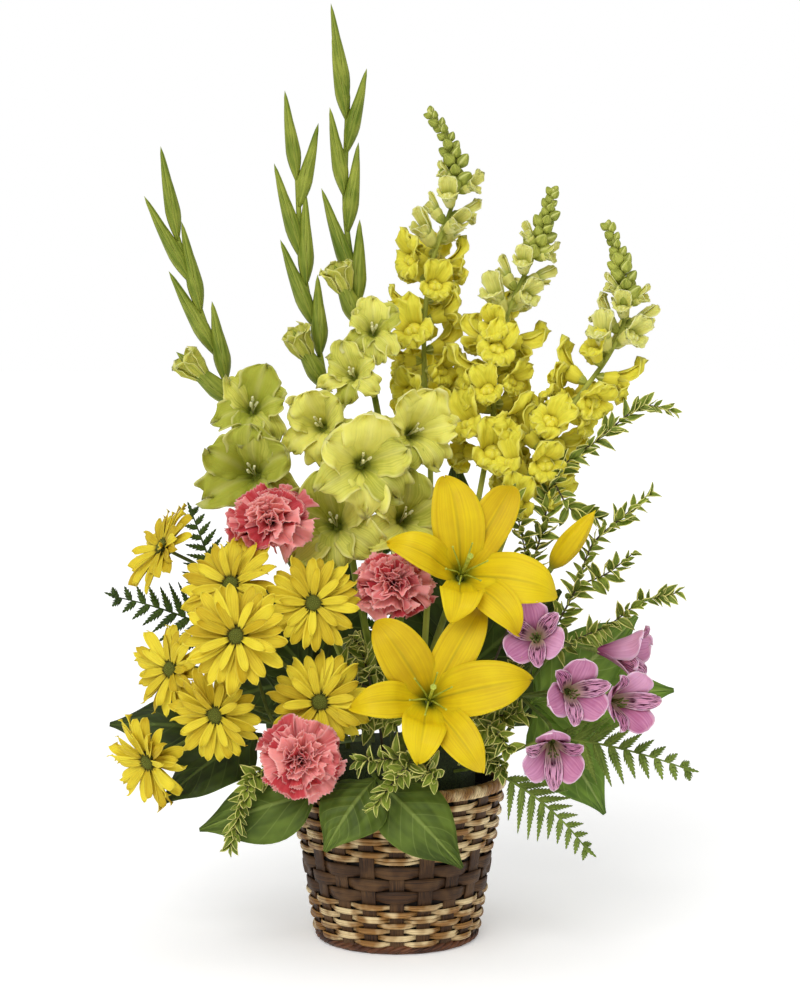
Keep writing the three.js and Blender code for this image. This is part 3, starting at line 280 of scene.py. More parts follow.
def joined(pieces):
    only(*pieces)
    if len(pieces) > 1:
        bpy.ops.object.join()
    return pieces[0]


def discard(*pieces):
    for piece in pieces:
        bpy.data.objects.remove(piece)


def settle(parts, name, finish, slot, *nodes):
    """Sets parts in the frame as one piece, in metres, with its look and the nodes it stands for."""
    piece = joined(parts)
    piece.name = name
    piece.data.name = name
    piece.data.transform(Matrix.Scale(0.001, 4))
    piece.data.materials.clear()
    piece.data.materials.append(finish.material)
    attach(piece, "root")
    if nodes:
        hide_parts(*nodes)


def bamboo(name, dark, middle, light, grain, gloss, drifting):
    """Split bamboo: fibres run along the strip and its colour drifts from piece to piece."""
    finish = Finish(name, Coat_Weight=0.06, Coat_Roughness=0.35, Specular_IOR_Level=0.25)
    fibres = finish.streaks(grain, 6.0, 3.0)
    drift = finish.speckle(55.0).between(0.4, 0.66) * drifting
    finish.paint(dark, (fibres.between(0.38, 0.62), middle), (drift * fibres.between(0.3, 0.5), light))
    finish.wears(Roughness=gloss + 0.15 * fibres)
    finish.raised(fibres, 0.0004, 0.5)
    return finish


brown_bamboo = bamboo("brown_bamboo", "24150a", "50341b", "735331", 30.0, 0.55, 0.5)
stake = sheet(6, 48, lambda u, v: Vector((0, u * STAKE_WIDTH / 2 * (0.8 + 0.2 * v), 4 + 126 * v)))
thickened(stake, 1.4)
stakes = []
for k in range(STAKES):
    stakes.append(copied(stake))
    for vertex in stakes[-1].data.vertices:
        bow = 0.5 * sin(vertex.co.z * 1.1 + k * pi)
        vertex.co.x += wall_radius(vertex.co.z) + bow - vertex.co.y**2 / 150
    stakes[-1].data.transform(spun(tau * k / STAKES))
discard(stake)
settle(stakes, "basket_stakes", brown_bamboo, "bamboo", "basket_weave")

# ---- Basket strips ----
# Each row is one strip of split bamboo that runs round the wall, in front of every other stake. The
# rows are thin and tan at the foot and under the rim, with three wide stained rows between them.
THIN_ROWS = [9 + 5.1 * k for k in range(7)] + [79.3 + 5.25 * k for k in range(9)]
WIDE_ROWS = [48.8, 58.9, 69.2]


def around(radius, angle, z):
    return Vector((radius * cos(angle), radius * sin(angle), z))


def strip(z, height, swing, phase, crown, slack):
    """A closed ring that swings out over one stake and in behind the next, narrower where it ducks."""

    def place(u, v):
        angle = tau * v
        over = cos(STAKES / 2 * angle + phase)
        rise = slack * sin(3 * angle + phase * 2 + z)
        tall = height * (0.86 + 0.14 * over)
        level = z + rise + u * tall / 2
        radius = wall_radius(level) + swing * tanh(1.8 * over) / 0.95 + crown * (1 - u * u)
        return around(radius, angle, level)

    return thickened(weld(sheet(4, STAKES * 10, place)), 1.1)


tan_bamboo = bamboo("tan_bamboo", "664018", "a97c42", "f2dba8", 10.0, 0.45, 0.9)
rows = []
for k, level in enumerate(THIN_ROWS):
    if k % 3 == 1:
        rows += [strip(level + side, 2.5, 2.3, pi * (k % 2), 0.5, 0.3) for side in (-1.3, 1.3)]
    else:
        rows.append(strip(level, 4.6, 2.4, pi * (k % 2), 0.8, 0.5))
settle(rows, "basket_tan_strips", tan_bamboo, "cane", "basket_weave")
rows = [strip(level, 10.6, 2.0, pi * ((k + 1) % 2), 0.35, 0.2) for k, level in enumerate(WIDE_ROWS)]
settle(rows, "basket_brown_strips", brown_bamboo, "bamboo", "basket_weave")

# ---- Basket lining wall ----
# Behind the open weave the basket has a thin, near-black inner wall, which the stakes lean on. It is
# painted shade that darkens the gaps in the weave, and it is bent into a ring that stands between the
# foot and the rim.
LINING = [(wall_radius(8) - 1.9, 8), (wall_radius(128) - 1.9, 128),
          (wall_radius(128) - 3.5, 128), (wall_radius(8) - 3.5, 8)]


def lining_skin(u, v):
    radius, level = LINING[round(2 * u + 2) % 4]
    return around(radius, tau * v, level)


# A near-black grained finish: painted shade that shows through the gaps in the weave.
painted_shade_lining = bamboo("painted_shade_lining", "0c0806", "170f0a", "20160e", 30.0, 0.7, 0.5)
lining = weld(sheet(4, 60, lining_skin))
settle([lining], "basket_inner_wall", painted_shade_lining, "bamboo", "basket_weave")

# ---- Basket rim ----
# A flat tan hoop on each side of the wall's edge is bound by one narrow strip wound round and round. The
# binding is split cane, and it holds the hoops to the ends of the stakes. Only the binding's turns are
# made here, side by side round the edge.
RIM_WRAPS = 64


def wrap_skin(u, v):
    turn = tau * v
    reach = 3.5 + 0.5 * (1 - u * u)
    square = max(abs(cos(turn)), abs(sin(turn))) ** -0.6
    return Vector((reach * cos(turn) * square, 4.6 * u + 4.5 * sin(turn) * 0.5,
                   (reach + 0.8) * sin(turn) * square))


wrap = thickened(weld(sheet(6, 14, wrap_skin)), 0.6)
seat = Matrix.Translation((wall_radius(131.5) - 1.2, 0, 131.3))
wraps = [copied(wrap, spun(tau * k / RIM_WRAPS) @ seat) for k in range(RIM_WRAPS)]
discard(wrap)
settle(wraps, "basket_rim_binding", tan_bamboo, "cane", "basket_rim")

# ---- Basket foot ----
# Three stained canes twisted together make the ring that the basket stands on. The round base inside
# it is the frame's own disc, stained like the stakes.
red_cane = bamboo("red_cane", "2d170d", "5a3420", "7a4c2e", 10.0, 0.45, 0.7)
strands = []
for k in range(3):
    def strand_skin(u, v):
        angle = tau * v
        coil = 16 * angle + k * 2 * pi / 3
        radius = FOOT_RADIUS - 0.6 + 1.7 * cos(coil) + 2.2 * cos(pi * u)
        return around(radius, angle, 4.1 + 1.7 * sin(coil) + 2.2 * sin(pi * u))

    strands.append(smoothed(weld(sheet(8, 320, strand_skin))))
settle(strands, "basket_foot_ring", red_cane, "bamboo")
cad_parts["basket_foot"].material_slots[0].material = brown_bamboo.material

# ---- Liner and floral foam ----
# A dark plastic liner keeps the water in. The foam in it is a green block, wet and open-celled, cut
# by hand with rounded shoulders, and every stem stands in its own hole.
liner_plastic = Finish("liner_plastic", Base_Color="1c2016")
liner_plastic.wears(Roughness=0.28 + 0.2 * liner_plastic.speckle(60.0))
liner_plastic.raised(liner_plastic.speckle(25.0), 0.0006, 0.4)
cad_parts["liner"].material_slots[0].material = liner_plastic.material
wet_foam = Finish("wet_foam", Roughness=0.85)
cells = wet_foam.speckle(900.0, 3.0)
damp = wet_foam.speckle(30.0).between(0.4, 0.7)
wet_foam.paint("1c2610", (cells.between(0.35, 0.65), "3a4c22"), (damp * 0.6, "222e14"))
wet_foam.raised(cells, 0.0012, 0.8)
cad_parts["floral_foam"].material_slots[0].material = wet_foam.material

# ---- Gladiolus stems, buds and cups ----
# Three tall flower spikes stand at the back. The buds sit close on the stem in two ranks, each in a
# pair of green bracts with a pale edge, and the lowest one is just opening.
FOAM_TOP = 160
FOOT_DEPTH = 50
SIDE_DEPTH = 17
PATH_STEP = 4
luck = random.Random(20117)
vary = luck.uniform


def between_times(first, second, low, high, time):
    return first * ((high - time) / (high - low)) + second * ((time - low) / (high - low))


def smooth_path(points):
    """Close points on the smooth curve through the given ones."""
    points = [Vector(p) for p in points]
    points = [2 * points[0] - points[1], *points, 2 * points[-1] - points[-2]]
    path = [points[1]]
    for near in zip(points, points[1:], points[2:], points[3:]):
        times = [0.0]
        for a, b in zip(near, near[1:]):
            times.append(times[-1] + max((b - a).length ** 0.5, 1e-3))
        count = max(2, round((near[2] - near[1]).length / PATH_STEP))
        for step in range(1, count + 1):
            time = times[1] + (times[2] - times[1]) * step / count
            row = near
            for gap in (1, 2):
                row = [between_times(*row[j : j + 2], times[j], times[j + gap], time)
                       for j in range(len(row) - 1)]
            path.append(between_times(*row, times[1], times[2], time))
    return path


def in_foam(foot, route):
    """A stem's path: straight into the foam, and then along its route. A foot that has a height too
    stands in the foam's side, and any other one in its top."""
    x, y, *z = foot
    entry = Vector((x, y, z[0] if z else FOAM_TOP))
    into = (Vector((x, y, z[0] - 130)) if z else Vector((x * 0.25, y * 0.25, 52))).normalized()
    depth = SIDE_DEPTH if z else FOOT_DEPTH
    return [entry - into * depth, *smooth_path([entry, entry + into * 10, *route])]


def at_height(path, z):
    """The point of a rising path at a height, and the way it goes there."""
    i = next((i for i in range(1, len(path) - 1) if path[i].z > z), len(path) - 1)
    share = min(1.0, max(0.0, (z - path[i - 1].z) / max(path[i].z - path[i - 1].z, 1e-6)))
    return path[i - 1].lerp(path[i], share), (path[i] - path[i - 1]).normalized()


def stalk(path, thick, thin, sides=2):
    """A round stem along a path, from one radius to another."""
    line = bpy.data.curves.new("stalk", "CURVE")
    line.dimensions = "3D"
    line.bevel_depth = 1.0
    line.bevel_resolution = sides
    line.use_fill_caps = True
    spline = line.splines.new("POLY")
    spline.points.add(len(path) - 1)
    for i, (point, place) in enumerate(zip(spline.points, path)):
        point.co = (*place, 1)
        point.radius = thick + (thin - thick) * i / (len(path) - 1)
    piece = bpy.data.objects.new("stalk", line)
    scene.collection.objects.link(piece)
    only(piece)
    bpy.ops.object.convert(target="MESH")
    return smoothed(bpy.context.object)


def stood(at, x_way, up):
    """The seat at a place that lays +X along x_way, with +Z as near to up as it can be."""
    x_way = x_way.normalized()
    side = up.cross(x_way).normalized()
    return Matrix.Translation(at) @ Matrix((x_way, side, x_way.cross(side))).transposed().to_4x4()


def breadth(v, root, belly, blunt, tip=0.62):
    """A leaf's half width along it, as a share of the widest: root at the base, then full, then round,
    or pointed where tip is near 1."""
    if v < belly:
        return root + (1 - root) * sin(pi / 2 * v / belly)
    share = (v - belly) / (1 - belly)
    return max(0.03, (1 - share**blunt) ** tip)


def pod(length, half, deep, belly=0.36):
    """A closed bud along +X, pointed at both ends."""

    def place(u, v):
        wide = breadth(v, 0.25, belly, 1.15) if 0 < v < 1 else 0.001
        return Vector((length * v, half * wide * cos(pi * u), deep * wide * sin(pi * u)))

    return weld(sheet(10, 12, place), 0.001 * length)


def bract(length, half, deep, wrap):
    """A green sheath along +X that wraps the upper side of a bud, with its edges free."""

    def place(u, v):
        turn = pi / 2 + wrap * u * (1 - 0.75 * v**2)
        wide = breadth(v, 0.3, 0.34, 1.1) * 1.1
        return Vector((length * v, half * wide * cos(turn), deep * wide * sin(turn)))

    return thickened(sheet(8, 12, place), 0.5)


def living(name, dark, light, edge=None, edge_width=0.05, roughness=0.5, veins=8.0):
    """A green leaf or bract: fine veins along it, an edge of its own colour, and a soft drift."""
    finish = Finish(name, Subsurface_Weight=0.12, Subsurface_Radius=(0.002, 0.003, 0.001),
                    Subsurface_Scale=1.0, Specular_IOR_Level=0.22)
    fibres = finish.streaks(veins, 1.5)
    drift = finish.speckle(45.0)
    rim = finish.from_rib().between(0.5 - edge_width, 0.5) * (0.3 + 1.1 * finish.streaks(2.0, 4.0, 1.0))
    finish.paint(dark, ((0.6 * fibres + 0.4 * drift).between(0.32, 0.68), light), (rim, edge or light))
    finish.wears(Roughness=roughness + 0.15 * drift)
    finish.raised(fibres, 0.0002, 0.5)
    return finish


bud_green = living("gladiolus_green", "566c14", "a0a842", "a3aa4a", 0.02, veins=12.0)
# Each spike: name, foot, range of its petals' lightness (low on the left spike, as painted shade) and
# route of its stem; its blooms as place, way they face and size; then its cup and its buds, as the
# height on the stem followed by the tip.
GLADIOLI = [
    ("left", (-24, 32), (-0.5, 0.4),
     [(-72, 38, 290), (-122, 38, 405), (-141, 36, 455), (-165, 36, 522), (-184, 36, 584)],
     [((-119, 12, 433), (0.05, -0.9, 0.35), 0.76), ((-117, 20, 381), (-0.1, -0.95, 0.2), 0.95)],
     [(440, -183, 22, 484), (458, -154, 34, 526), (482, -190, 36, 551), (516, -179, 36, 592),
      (542, -210, 36, 613), (576, -196, 36, 654)]),
    ("middle", (-10, 36), (0.1, 1.3),
     [(-34, 36, 290), (-52, 32, 400), (-62, 32, 470), (-71, 34, 515), (-79, 36, 560), (-83, 36, 634)],
     [((-60, 12, 421), (-0.2, -0.9, 0.2), 0.74), ((-30, -18, 392), (0.15, -0.95, 0.15), 1.0),
      ((-49, 2, 340), (-0.1, -0.95, 0.25), 0.98)],
     [(454, -86, 16, 502), (480, -66, 32, 548), (506, -97, 34, 577), (538, -76, 36, 617),
      (562, -102, 36, 640), (604, -65, 36, 673), (626, -93, 38, 700)]),
    ("right", (8, 40), (0.0, 1.2),
     [(0, 42, 290), (-14, 42, 420), (-32, 40, 510), (-36, 42, 545), (-43, 44, 600), (-41, 48, 694)],
     [((-20, 14, 497), (0.05, -0.93, 0.35), 0.62), ((-34, 10, 462), (-0.2, -0.9, 0.3), 0.58),
      ((8, 8, 415), (0.35, -0.88, 0.2), 0.82), ((2, 0, 344), (0.25, -0.93, 0.3), 0.88)],
     [(506, -52, 26, 556), (522, -31, 40, 594), (540, -63, 42, 620), (584, -32, 44, 658),
      (614, -56, 46, 687), (650, -25, 46, 719), (677, -54, 48, 747), (688, -55, 50, 773)]),
]

for name, foot, tints, route, blooms, buds in GLADIOLI:
    path = in_foam(foot, route)
    parts = [stalk(path, 3.4, 2.2)]
    for i, (z, *tip) in enumerate(buds):
        half = 8.2 - 0.25 * (i - 1) if i else 9.4
        root = at_height(path, z)[0]
        along = Vector(tip) - root
        length = along.length
        seat = stood(root, along, Vector((1 if tip[0] > root.x else -1, 0, 0)))
        parts.append(moved(pod(length, half, half * 0.72), seat, 0.6 if i else 0.95))
        parts.append(moved(bract(length * 0.93, half * 1.02, half * 0.8, 1.9), seat, 0.35))
        flip = seat @ spun(pi, "X") @ Matrix.Translation((length * 0.05, 0, 0))
        parts.append(moved(bract(length * 0.78, half * 1.02, half * 0.78, 1.6), flip, 0.5))
    settle(parts, f"gladiolus_{name}_spike", bud_green, "gladiolus_stem", f"gladiolus_{name}_stem")

# ---- Gladiolus blooms ----
# The lower flowers are open: a hooded petal between two broad ones over three narrower ones that turn
# down, all ruffled and lime, round a deep throat with cream stamens. A short tube joins each flower to
# its stem, and the bud above the last one has opened as far as a ruffled cup.
def through(stations, share):
    """A smooth run of values through evenly spaced stations."""
    place = min(max(share, 0.0), 1.0) * (len(stations) - 1)
    i = min(int(place), len(stations) - 2)
    t = place - i
    a, b, c, d = (stations[max(0, min(len(stations) - 1, j))] for j in range(i - 1, i + 3))
    return [
        q + 0.5 * t * (r - p + t * (2 * p - 5 * q + 4 * r - s + t * (3 * (q - r) + s - p)))
        for p, q, r, s in zip(a, b, c, d)
    ]


def through_one(values, share):
    """The same for single values."""
    return through([(value,) for value in values], share)[0]


def petal(profile, half, outline, lift, size, thickness, sway, frill=0.0):
    """A petal along +X that opens towards +Z. profile lists (out, up) at even steps along it, outline
    is for breadth(), and lift(u, v) is how far a point stands above the midrib. frill waves its edge."""

    def place(u, v):
        out, up = through(profile, v)
        far_out, far_up = through(profile, min(v + 0.02, 1.0))
        near_out, near_up = through(profile, max(v - 0.02, 0.0))
        way = Vector((far_out - near_out, 0, far_up - near_up)).normalized()
        rise = lift(u, v)
        wavy = 1 + frill * sin(19 * v + 3 * u + 2 * sway) * v
        across = u * half * breadth(v, *outline) * wavy + sway * v * v
        return Vector((out - way.z * rise, across, up + way.x * rise))

    return thickened(sheet(*size, place), thickness)


def facing_frame(at, facing, roll=0.0):
    """The place of a flower that opens along +Z, turned to look along facing."""
    turn = Vector((0, 0, 1)).rotation_difference(Vector(facing).normalized())
    return Matrix.Translation(at) @ turn.to_matrix().to_4x4() @ spun(roll)


def petals_finish(name, deep, mid, pale, throat, throat_share, veins, depth, edge, rough=0.5, rim=0.5,
                  rib=0.0):
    """A petal: fine veins along it, a colour at its throat (painted shade on the daisies and
    carnations), a paler edge, a pale line along its middle (a painted highlight on the fold), and its
    tint.
    """
    finish = Finish(name, Subsurface_Weight=0.2, Subsurface_Radius=(0.003, 0.002, 0.001),
                    Subsurface_Scale=1.0, Specular_IOR_Level=0.25)
    from_rib, along = finish.from_rib(), finish.along()
    fibres = finish.streaks(veins, 1.2, 3.0)
    body = (0.45 * fibres + 0.25 * finish.speckle(60.0) + 0.3 * finish.tint()).between(0.25, 0.72)
    border = (from_rib * 2).between(1 - 2.5 * edge, 1.0) + along.between(1 - edge, 1.0)
    # The rib line is a pale line along the petal's middle, a painted highlight on its fold.
    lines = border * rim + from_rib.between(0.14, 0.0) * rib
    # The throat colour at the petals' roots is painted shade on the daisies and carnations.
    finish.paint(deep, (body, mid), (lines, pale), (along.between(throat_share, 0.0), throat))
    finish.wears(Roughness=rough + 0.2 * fibres)
    finish.raised(fibres, depth, 0.6)
    return finish


# The last figure lays a pale line along each petal's middle fold, a painted highlight.
lime_petal = petals_finish("gladiolus_lime", "a2a736", "ebe56e", "f5efae", "929c34", 0.34, 26.0, 0.001,
                           0.07, 0.6, 0.35, 0.15)
cream = Finish("stamen_cream", Roughness=0.6, Subsurface_Weight=0.1)
cream.paint("cfcb8a", (cream.speckle(300.0), "ece7c0"))


def ruffled_petal(profile, half, ruffle, phase, size=(18, 28)):
    """A wide petal whose edges run in waves that grow towards its end, with a fold along its middle."""

    def lift(u, v):
        slow = 1.3 * ruffle * sin(8 * v + 2.2 * u + phase) * abs(u) ** 2
        fast = 0.55 * ruffle * sin(24 * v - 5 * u + 2 * phase) * abs(u) ** 3
        end = 0.8 * ruffle * sin(6 * u + phase) * v**5 + 0.4 * ruffle * sin(15 * u + 2 * phase) * v**7
        fold = 0.07 * half * exp(-((u / 0.16) ** 2)) * (1 - v * v)
        crease = 0.02 * half * sin(14 * u + phase) * sin(pi * v)
        return (slow + fast) * v + end - fold + crease + 0.12 * half * u * u

    return petal(profile, half, (0.2, 0.66, 2.3), lift, size, 0.6, vary(-4, 4), 0.1)


UPPER_LOBE = [(3, 0), (7, 15), (12, 29), (18, 40), (27, 47), (37, 49)]
SIDE_LOBE = [(3, 0), (7.5, 15), (13, 28), (19, 38), (27, 44), (35, 44)]
LOWER_LOBE = [(3, 0), (8, 14), (15, 25), (25, 31), (36, 29), (43, 19)]
GLADIOLUS_LOBES = [(28, SIDE_LOBE, 17), (90, UPPER_LOBE, 20), (152, SIDE_LOBE, 17),
                   (216, LOWER_LOBE, 15), (270, LOWER_LOBE, 15), (324, LOWER_LOBE, 15)]


def gladiolus_bloom(size, tints):
    """The petals of an open flower on +Z, its hooded petal towards +Y, each with a tint between two."""
    whorl = []
    for k, (angle, stations, half) in enumerate(GLADIOLUS_LOBES):
        curl, reach = vary(-7, 7), vary(0.88, 1.12)
        last = len(stations) - 1
        profile = [(out * size * (1 + (reach - 1) * i / last), (up + curl * (i / last) ** 2) * size)
                   for i, (out, up) in enumerate(stations)]
        made = ruffled_petal(profile, half * size * vary(1.04, 1.22), 5.0 * size + 1.2, vary(0, 6.3))
        turn = spun(radians(angle) + vary(-0.2, 0.2))
        rise = Matrix.Translation((0, 0, (k % 2) * 1.5 * size))
        # Each petal's lightness comes from its spike's range, which is low on the left spike as painted
        # shade.
        whorl.append(moved(made, turn @ rise, vary(*tints)))
    return whorl


def stamens(count, height, spread, lean, thick):
    """Slim stalks with a long anther at each end, leaning to one side of the throat."""
    made = []
    for k in range(count):
        angle = tau * k / count
        tip = Vector((cos(angle) * spread, sin(angle) * spread + lean, height * vary(0.92, 1.05)))
        path = [Vector((0, 0, 2)), tip * 0.5 + Vector((0, 0, 2)), tip]
        made.append(stalk(smooth_path(path), thick, thick * 0.7, 0))
        way = Vector((cos(angle) * 0.3, 0.3, 1)).normalized()
        anther = [tip - way * 2.4, tip - way, tip + way, tip + way * 2.4]
        made.append(stalk(anther, thick * 2.0, thick * 1.6, 0))
    return made


def seated(pieces, seat):
    for piece in pieces:
        piece.data.transform(seat)
    return pieces


for name, foot, tints, route, blooms, buds in GLADIOLI:
    path = in_foam(foot, route)
    petals, hearts = [], []
    for at, facing, size in blooms:
        seat = facing_frame(at, facing, vary(-0.3, 0.3))
        petals += seated(gladiolus_bloom(size, tints), seat)
        root = at_height(path, at[2] - 26 * size)[0]
        throat = Vector(at)
        neck = [root, root.lerp(throat, 0.6), throat + Vector(facing).normalized() * 2]
        petals.append(moved(stalk(smooth_path(neck), 4.2 * size, 5.6 * size), tint=0.3))
        hearts += seated(stamens(3, 30 * size, 3.5 * size, 3 * size, 0.7), seat)
    node = f"gladiolus_{name}_blooms"
    settle(petals, f"gladiolus_{name}_petals", lime_petal, "gladiolus_petal", node)
    settle(hearts, f"gladiolus_{name}_stamens", cream, "gladiolus_petal", node)
    z, *tip = buds[0]
    root = at_height(path, z)[0]
    seat = facing_frame(root.lerp(Vector(tip), 0.42), Vector(tip) - root)
    cup = []
    for k in range(6):
        flare = vary(-1, 2)
        profile = [(1.5, 0), (4.5, 7), (6.5, 15), (7.5, 22), (9 + flare, 28), (11 + 2 * flare, 31)]
        made = ruffled_petal(profile, 9, 1.8, vary(0, 6.3), (8, 12))
        cup.append(moved(made, seat @ spun(pi / 3 * k), vary(0, 0.6)))
    settle(cup, f"gladiolus_{name}_cup", lime_petal, "gladiolus_petal", f"gladiolus_{name}_stem")

# ---- Daisy chrysanthemums ----
# Eight daisy heads on three branched stems. Each head has three layers of grooved petals with narrowed
# ends, round a domed olive eye of tiny florets. Painted shade darkens the eye towards its edge, and the
# petals' roots round it.
EYE_RADIUS = 8.8
EYE_FLORETS = 96
GOLDEN_TURN = 2.39996
# Each daisy: the place of its eye, the way it faces, and its radius.
DAISIES = [
    ((-190, -5, 323), (-0.75, -0.4, 0.5), 38),
    ((-130, -78, 300), (-0.3, -0.8, 0.5), 39),
    ((-124, -112, 264), (-0.15, -0.95, 0.2), 41),
    ((-66, -88, 287), (0.1, -0.95, 0.25), 37),
    ((-180, -48, 229), (-0.66, -0.74, 0.1), 37),
    ((-142, -86, 199), (-0.3, -0.92, -0.05), 37),
    ((-61, -92, 209), (0.05, -0.95, 0.2), 39),
    ((-199, -48, 155), (-0.62, -0.7, -0.25), 38),
]
# Each spray: its foot, its fork, and the daisies that it carries.
DAISY_SPRAYS = [
    ((-36, 16), (-92, -4, 226), (0, 1, 3)),
    ((-46, 0), (-96, -12, 186), (4, 7)),
    ((-40, -20), (-76, -44, 180), (2, 5, 6)),
]
# Each layer of petals: how many, their share of the head's radius, and their tilt in degrees.
DAISY_LAYERS = [(13, 1.02, 0.0), (13, 0.94, 7.0), (8, 0.76, 15.0)]
# Each kind of petal: curl, twist and half width.
PETAL_BENDS = [(0, 0, 0.132), (0.06, 0.06, 0.12), (-0.07, -0.06, 0.14), (0.03, -0.05, 0.126),
               (-0.03, 0.1, 0.136), (0.1, -0.1, 0.12)]
# The dark colour at these petals' roots is painted shade round the eye.
lemon_petal = petals_finish("daisy_lemon", "bb9c12", "f3dc38", "f8e85e", "4a3c08", 0.2, 9.0, 0.0005,
                            0.06, 0.55, 0.25)
olive_eye = Finish("daisy_eye", Roughness=0.8, Subsurface_Weight=0.05, Specular_IOR_Level=0.1)
# The eye darkens outwards to a near-black ring at its edge: painted shade where it meets the petals.
outward = olive_eye.tint()
olive_eye.paint("70762c", (outward.between(0.3, 0.8), "3c4012"), (outward.between(0.74, 0.88), "1d1a06"),
                (olive_eye.speckle(700.0) * 0.25, "98994a"))


def daisy_petal(curl, twist, half):
    """One petal, 1 unit to its tip: two grooves along it and a narrowed end."""

    def lift(u, v):
        grooves = 0.011 * cos(3 * pi * u) * sin(pi * min(1.0, v * 1.1))
        return grooves + 0.03 * u * u + twist * u * v

    profile = [(0.2, 0.02), (0.4, 0.06 + curl * 0.3), (0.66, 0.085 + curl * 0.8), (0.88, 0.08 + curl),
               (1.04, 0.05 + curl * 0.9)]
    return petal(profile, half, (0.42, 0.58, 1.8, 0.7), lift, (6, 9), 0.014, twist * 0.5)


def ball(segments, rings):
    """A sphere of radius 1."""
    bpy.ops.object.select_all(action="DESELECT")
    bpy.ops.mesh.primitive_uv_sphere_add(segments=segments, ring_count=rings, radius=1)
    return smoothed(bpy.context.object)


def stretched(x, y, z):
    return Matrix.Diagonal((x, y, z, 1))


petal_kinds = [daisy_petal(*bend) for bend in PETAL_BENDS]
bpy.ops.object.select_all(action="DESELECT")
bpy.ops.mesh.primitive_cone_add(vertices=6, radius1=0.62, radius2=0.25, depth=1.1)
tiny_floret = smoothed(bpy.context.object)
for number, (at, facing, size) in enumerate(DAISIES, 1):
    seat = facing_frame(at, facing, vary(0, 0.4))
    petals = []
    for layer, (count, grown, tilt) in enumerate(DAISY_LAYERS):
        for k in range(count):
            turn = spun(tau * (k + 0.5 * (layer % 2)) / count + vary(-0.07, 0.07))
            lean = spun(-radians(tilt + vary(-8, 6)), "Y")
            grow = Matrix.Scale(size * grown * vary(0.92, 1.04), 4)
            place = turn @ Matrix.Translation((0, 0, layer * 1.1)) @ lean @ grow
            petals.append(copied(luck.choice(petal_kinds), seat @ place, vary(0.0, 1.0)))
    settle(petals, f"daisy_{number}_head", lemon_petal, "daisy_petal", f"daisy_{number}_petals")
    eye = []
    for k in range(EYE_FLORETS):
        share = sqrt((k + 0.5) / EYE_FLORETS)
        turn = k * GOLDEN_TURN
        height = 3.0 + 3.6 * (1 - share**2) + (0.9 if share > 0.75 else 0)
        spot = Matrix.Translation(around(EYE_RADIUS * share, turn, height))
        lean = spun(turn) @ spun(share * 0.9, "Y")
        eye.append(copied(tiny_floret, seat @ spot @ lean @ Matrix.Scale(1.0 + 0.5 * share, 4), share))
    under = seat @ Matrix.Translation((0, 0, 1.2)) @ stretched(8.9, 8.9, 5.2)
    eye.append(moved(ball(20, 10), under, 0.6))
    settle(eye, f"daisy_{number}_eye", olive_eye, "daisy_green", f"daisy_{number}_petals")
discard(tiny_floret, *petal_kinds)

daisy_green = living("daisy_green", "45521e", "76803a", roughness=0.6)
for number, (foot, fork, heads) in enumerate(DAISY_SPRAYS, 1):
    path = in_foam(foot, [fork])
    fork = Vector(fork)
    rise = (path[-1] - path[-3]).normalized()
    parts = [stalk(path, 2.3, 1.9)]
    for at, facing, size in [DAISIES[k] for k in heads]:
        at, facing = Vector(at), Vector(facing).normalized()
        back = at - facing * 4
        gap = (back - fork).length
        neck = [fork - rise * 1.5, fork + rise * gap * 0.22, back - facing * gap * 0.28, back]
        parts.append(stalk(smooth_path(neck), 1.6, 1.5))
        under = facing_frame(at - facing * 1.6, facing) @ stretched(8.2, 8.2, 3.6)
        parts.append(moved(ball(14, 8), under))
    name = f"daisy_spray_{number}"
    settle(parts, name + "_stalks", daisy_green, "daisy_green", name + "_stem")

# ---- Lilies ----
# Two open lilies, three broad tepals in front of three narrower ones, each with a groove along its
# midrib that runs into a green throat, with six slim stamens and a pistil. One bud is still closed.

# Each lily: name, foot, place, way it faces, turn of the whole, and each tepal's own turn in degrees
# and reach.
LILIES = [
    ("upper", (14, -6), (50, -62, 304), (0.1, -0.92, 0.36), 0.0,
     [(-12, 0.95), (3, 1), (-18, 0.94), (-10, 0.78), (26, 0.6), (16, 0.82)]),
    ("lower", (4, -34), (25, -82, 208), (0.03, -0.95, 0.3), 0.12,
     [(1, 0.98), (-7, 1), (-1, 0.88), (3, 0.78), (10, 0.66), (-3, 0.9)]),
]
BUD_ROOT = Vector((122, -45, 308))
BUD_WAY = (Vector((153, -62, 352)) - BUD_ROOT).normalized()
golden = petals_finish("lily_gold", "c29e08", "e6ca0a", "f0d824", "76841a", 0.28, 22.0, 0.0004, 0.06,
                       rim=0.3)
# A greenish line down each midrib, strongest at the root: the midrib's own colour, and painted shade in
# its groove.
midrib = golden.from_rib().between(0.05, 0.0) * golden.along().between(0.95, 0.1)
golden.paint(golden.colour, (midrib * 0.6, "8f8414"))
lily_green = living("lily_green", "5a6a24", "8a9238", roughness=0.45)
heart_green = living("lily_heart", "8c9a2e", "c3cb52", roughness=0.45)


def posed(at, facing):
    """A bloom's place, the way it faces, and the seat that turns it so."""
    at, facing = Vector(at), Vector(facing).normalized()
    return at, facing, facing_frame(at, facing)


def stem_to(foot, head, facing):
    """A stem's path that rises, and arrives at the back of a bloom along the way it faces."""
    entry = Vector((*foot, FOAM_TOP))
    length = (head - entry).length
    rise = entry.lerp(head, 0.3) + Vector((0, 0, length * 0.14))
    return in_foam(foot, [rise, head - facing * length * 0.26, head])


def skin(sides, rings, radii, length, bottom=0, bend=0, swell=lambda turn, v: 1, fuse=0.05):
    """A closed body on +Z, from its radii at even steps up it. bend leans its top towards +X."""

    def place(u, v):
        radius = through_one(radii, v) * swell(pi * u, v)
        point = around(radius, pi * u, bottom + length * v)
        return point + Vector((bend * v * v, 0, 0))

    return smoothed(weld(sheet(sides, rings, place), fuse))


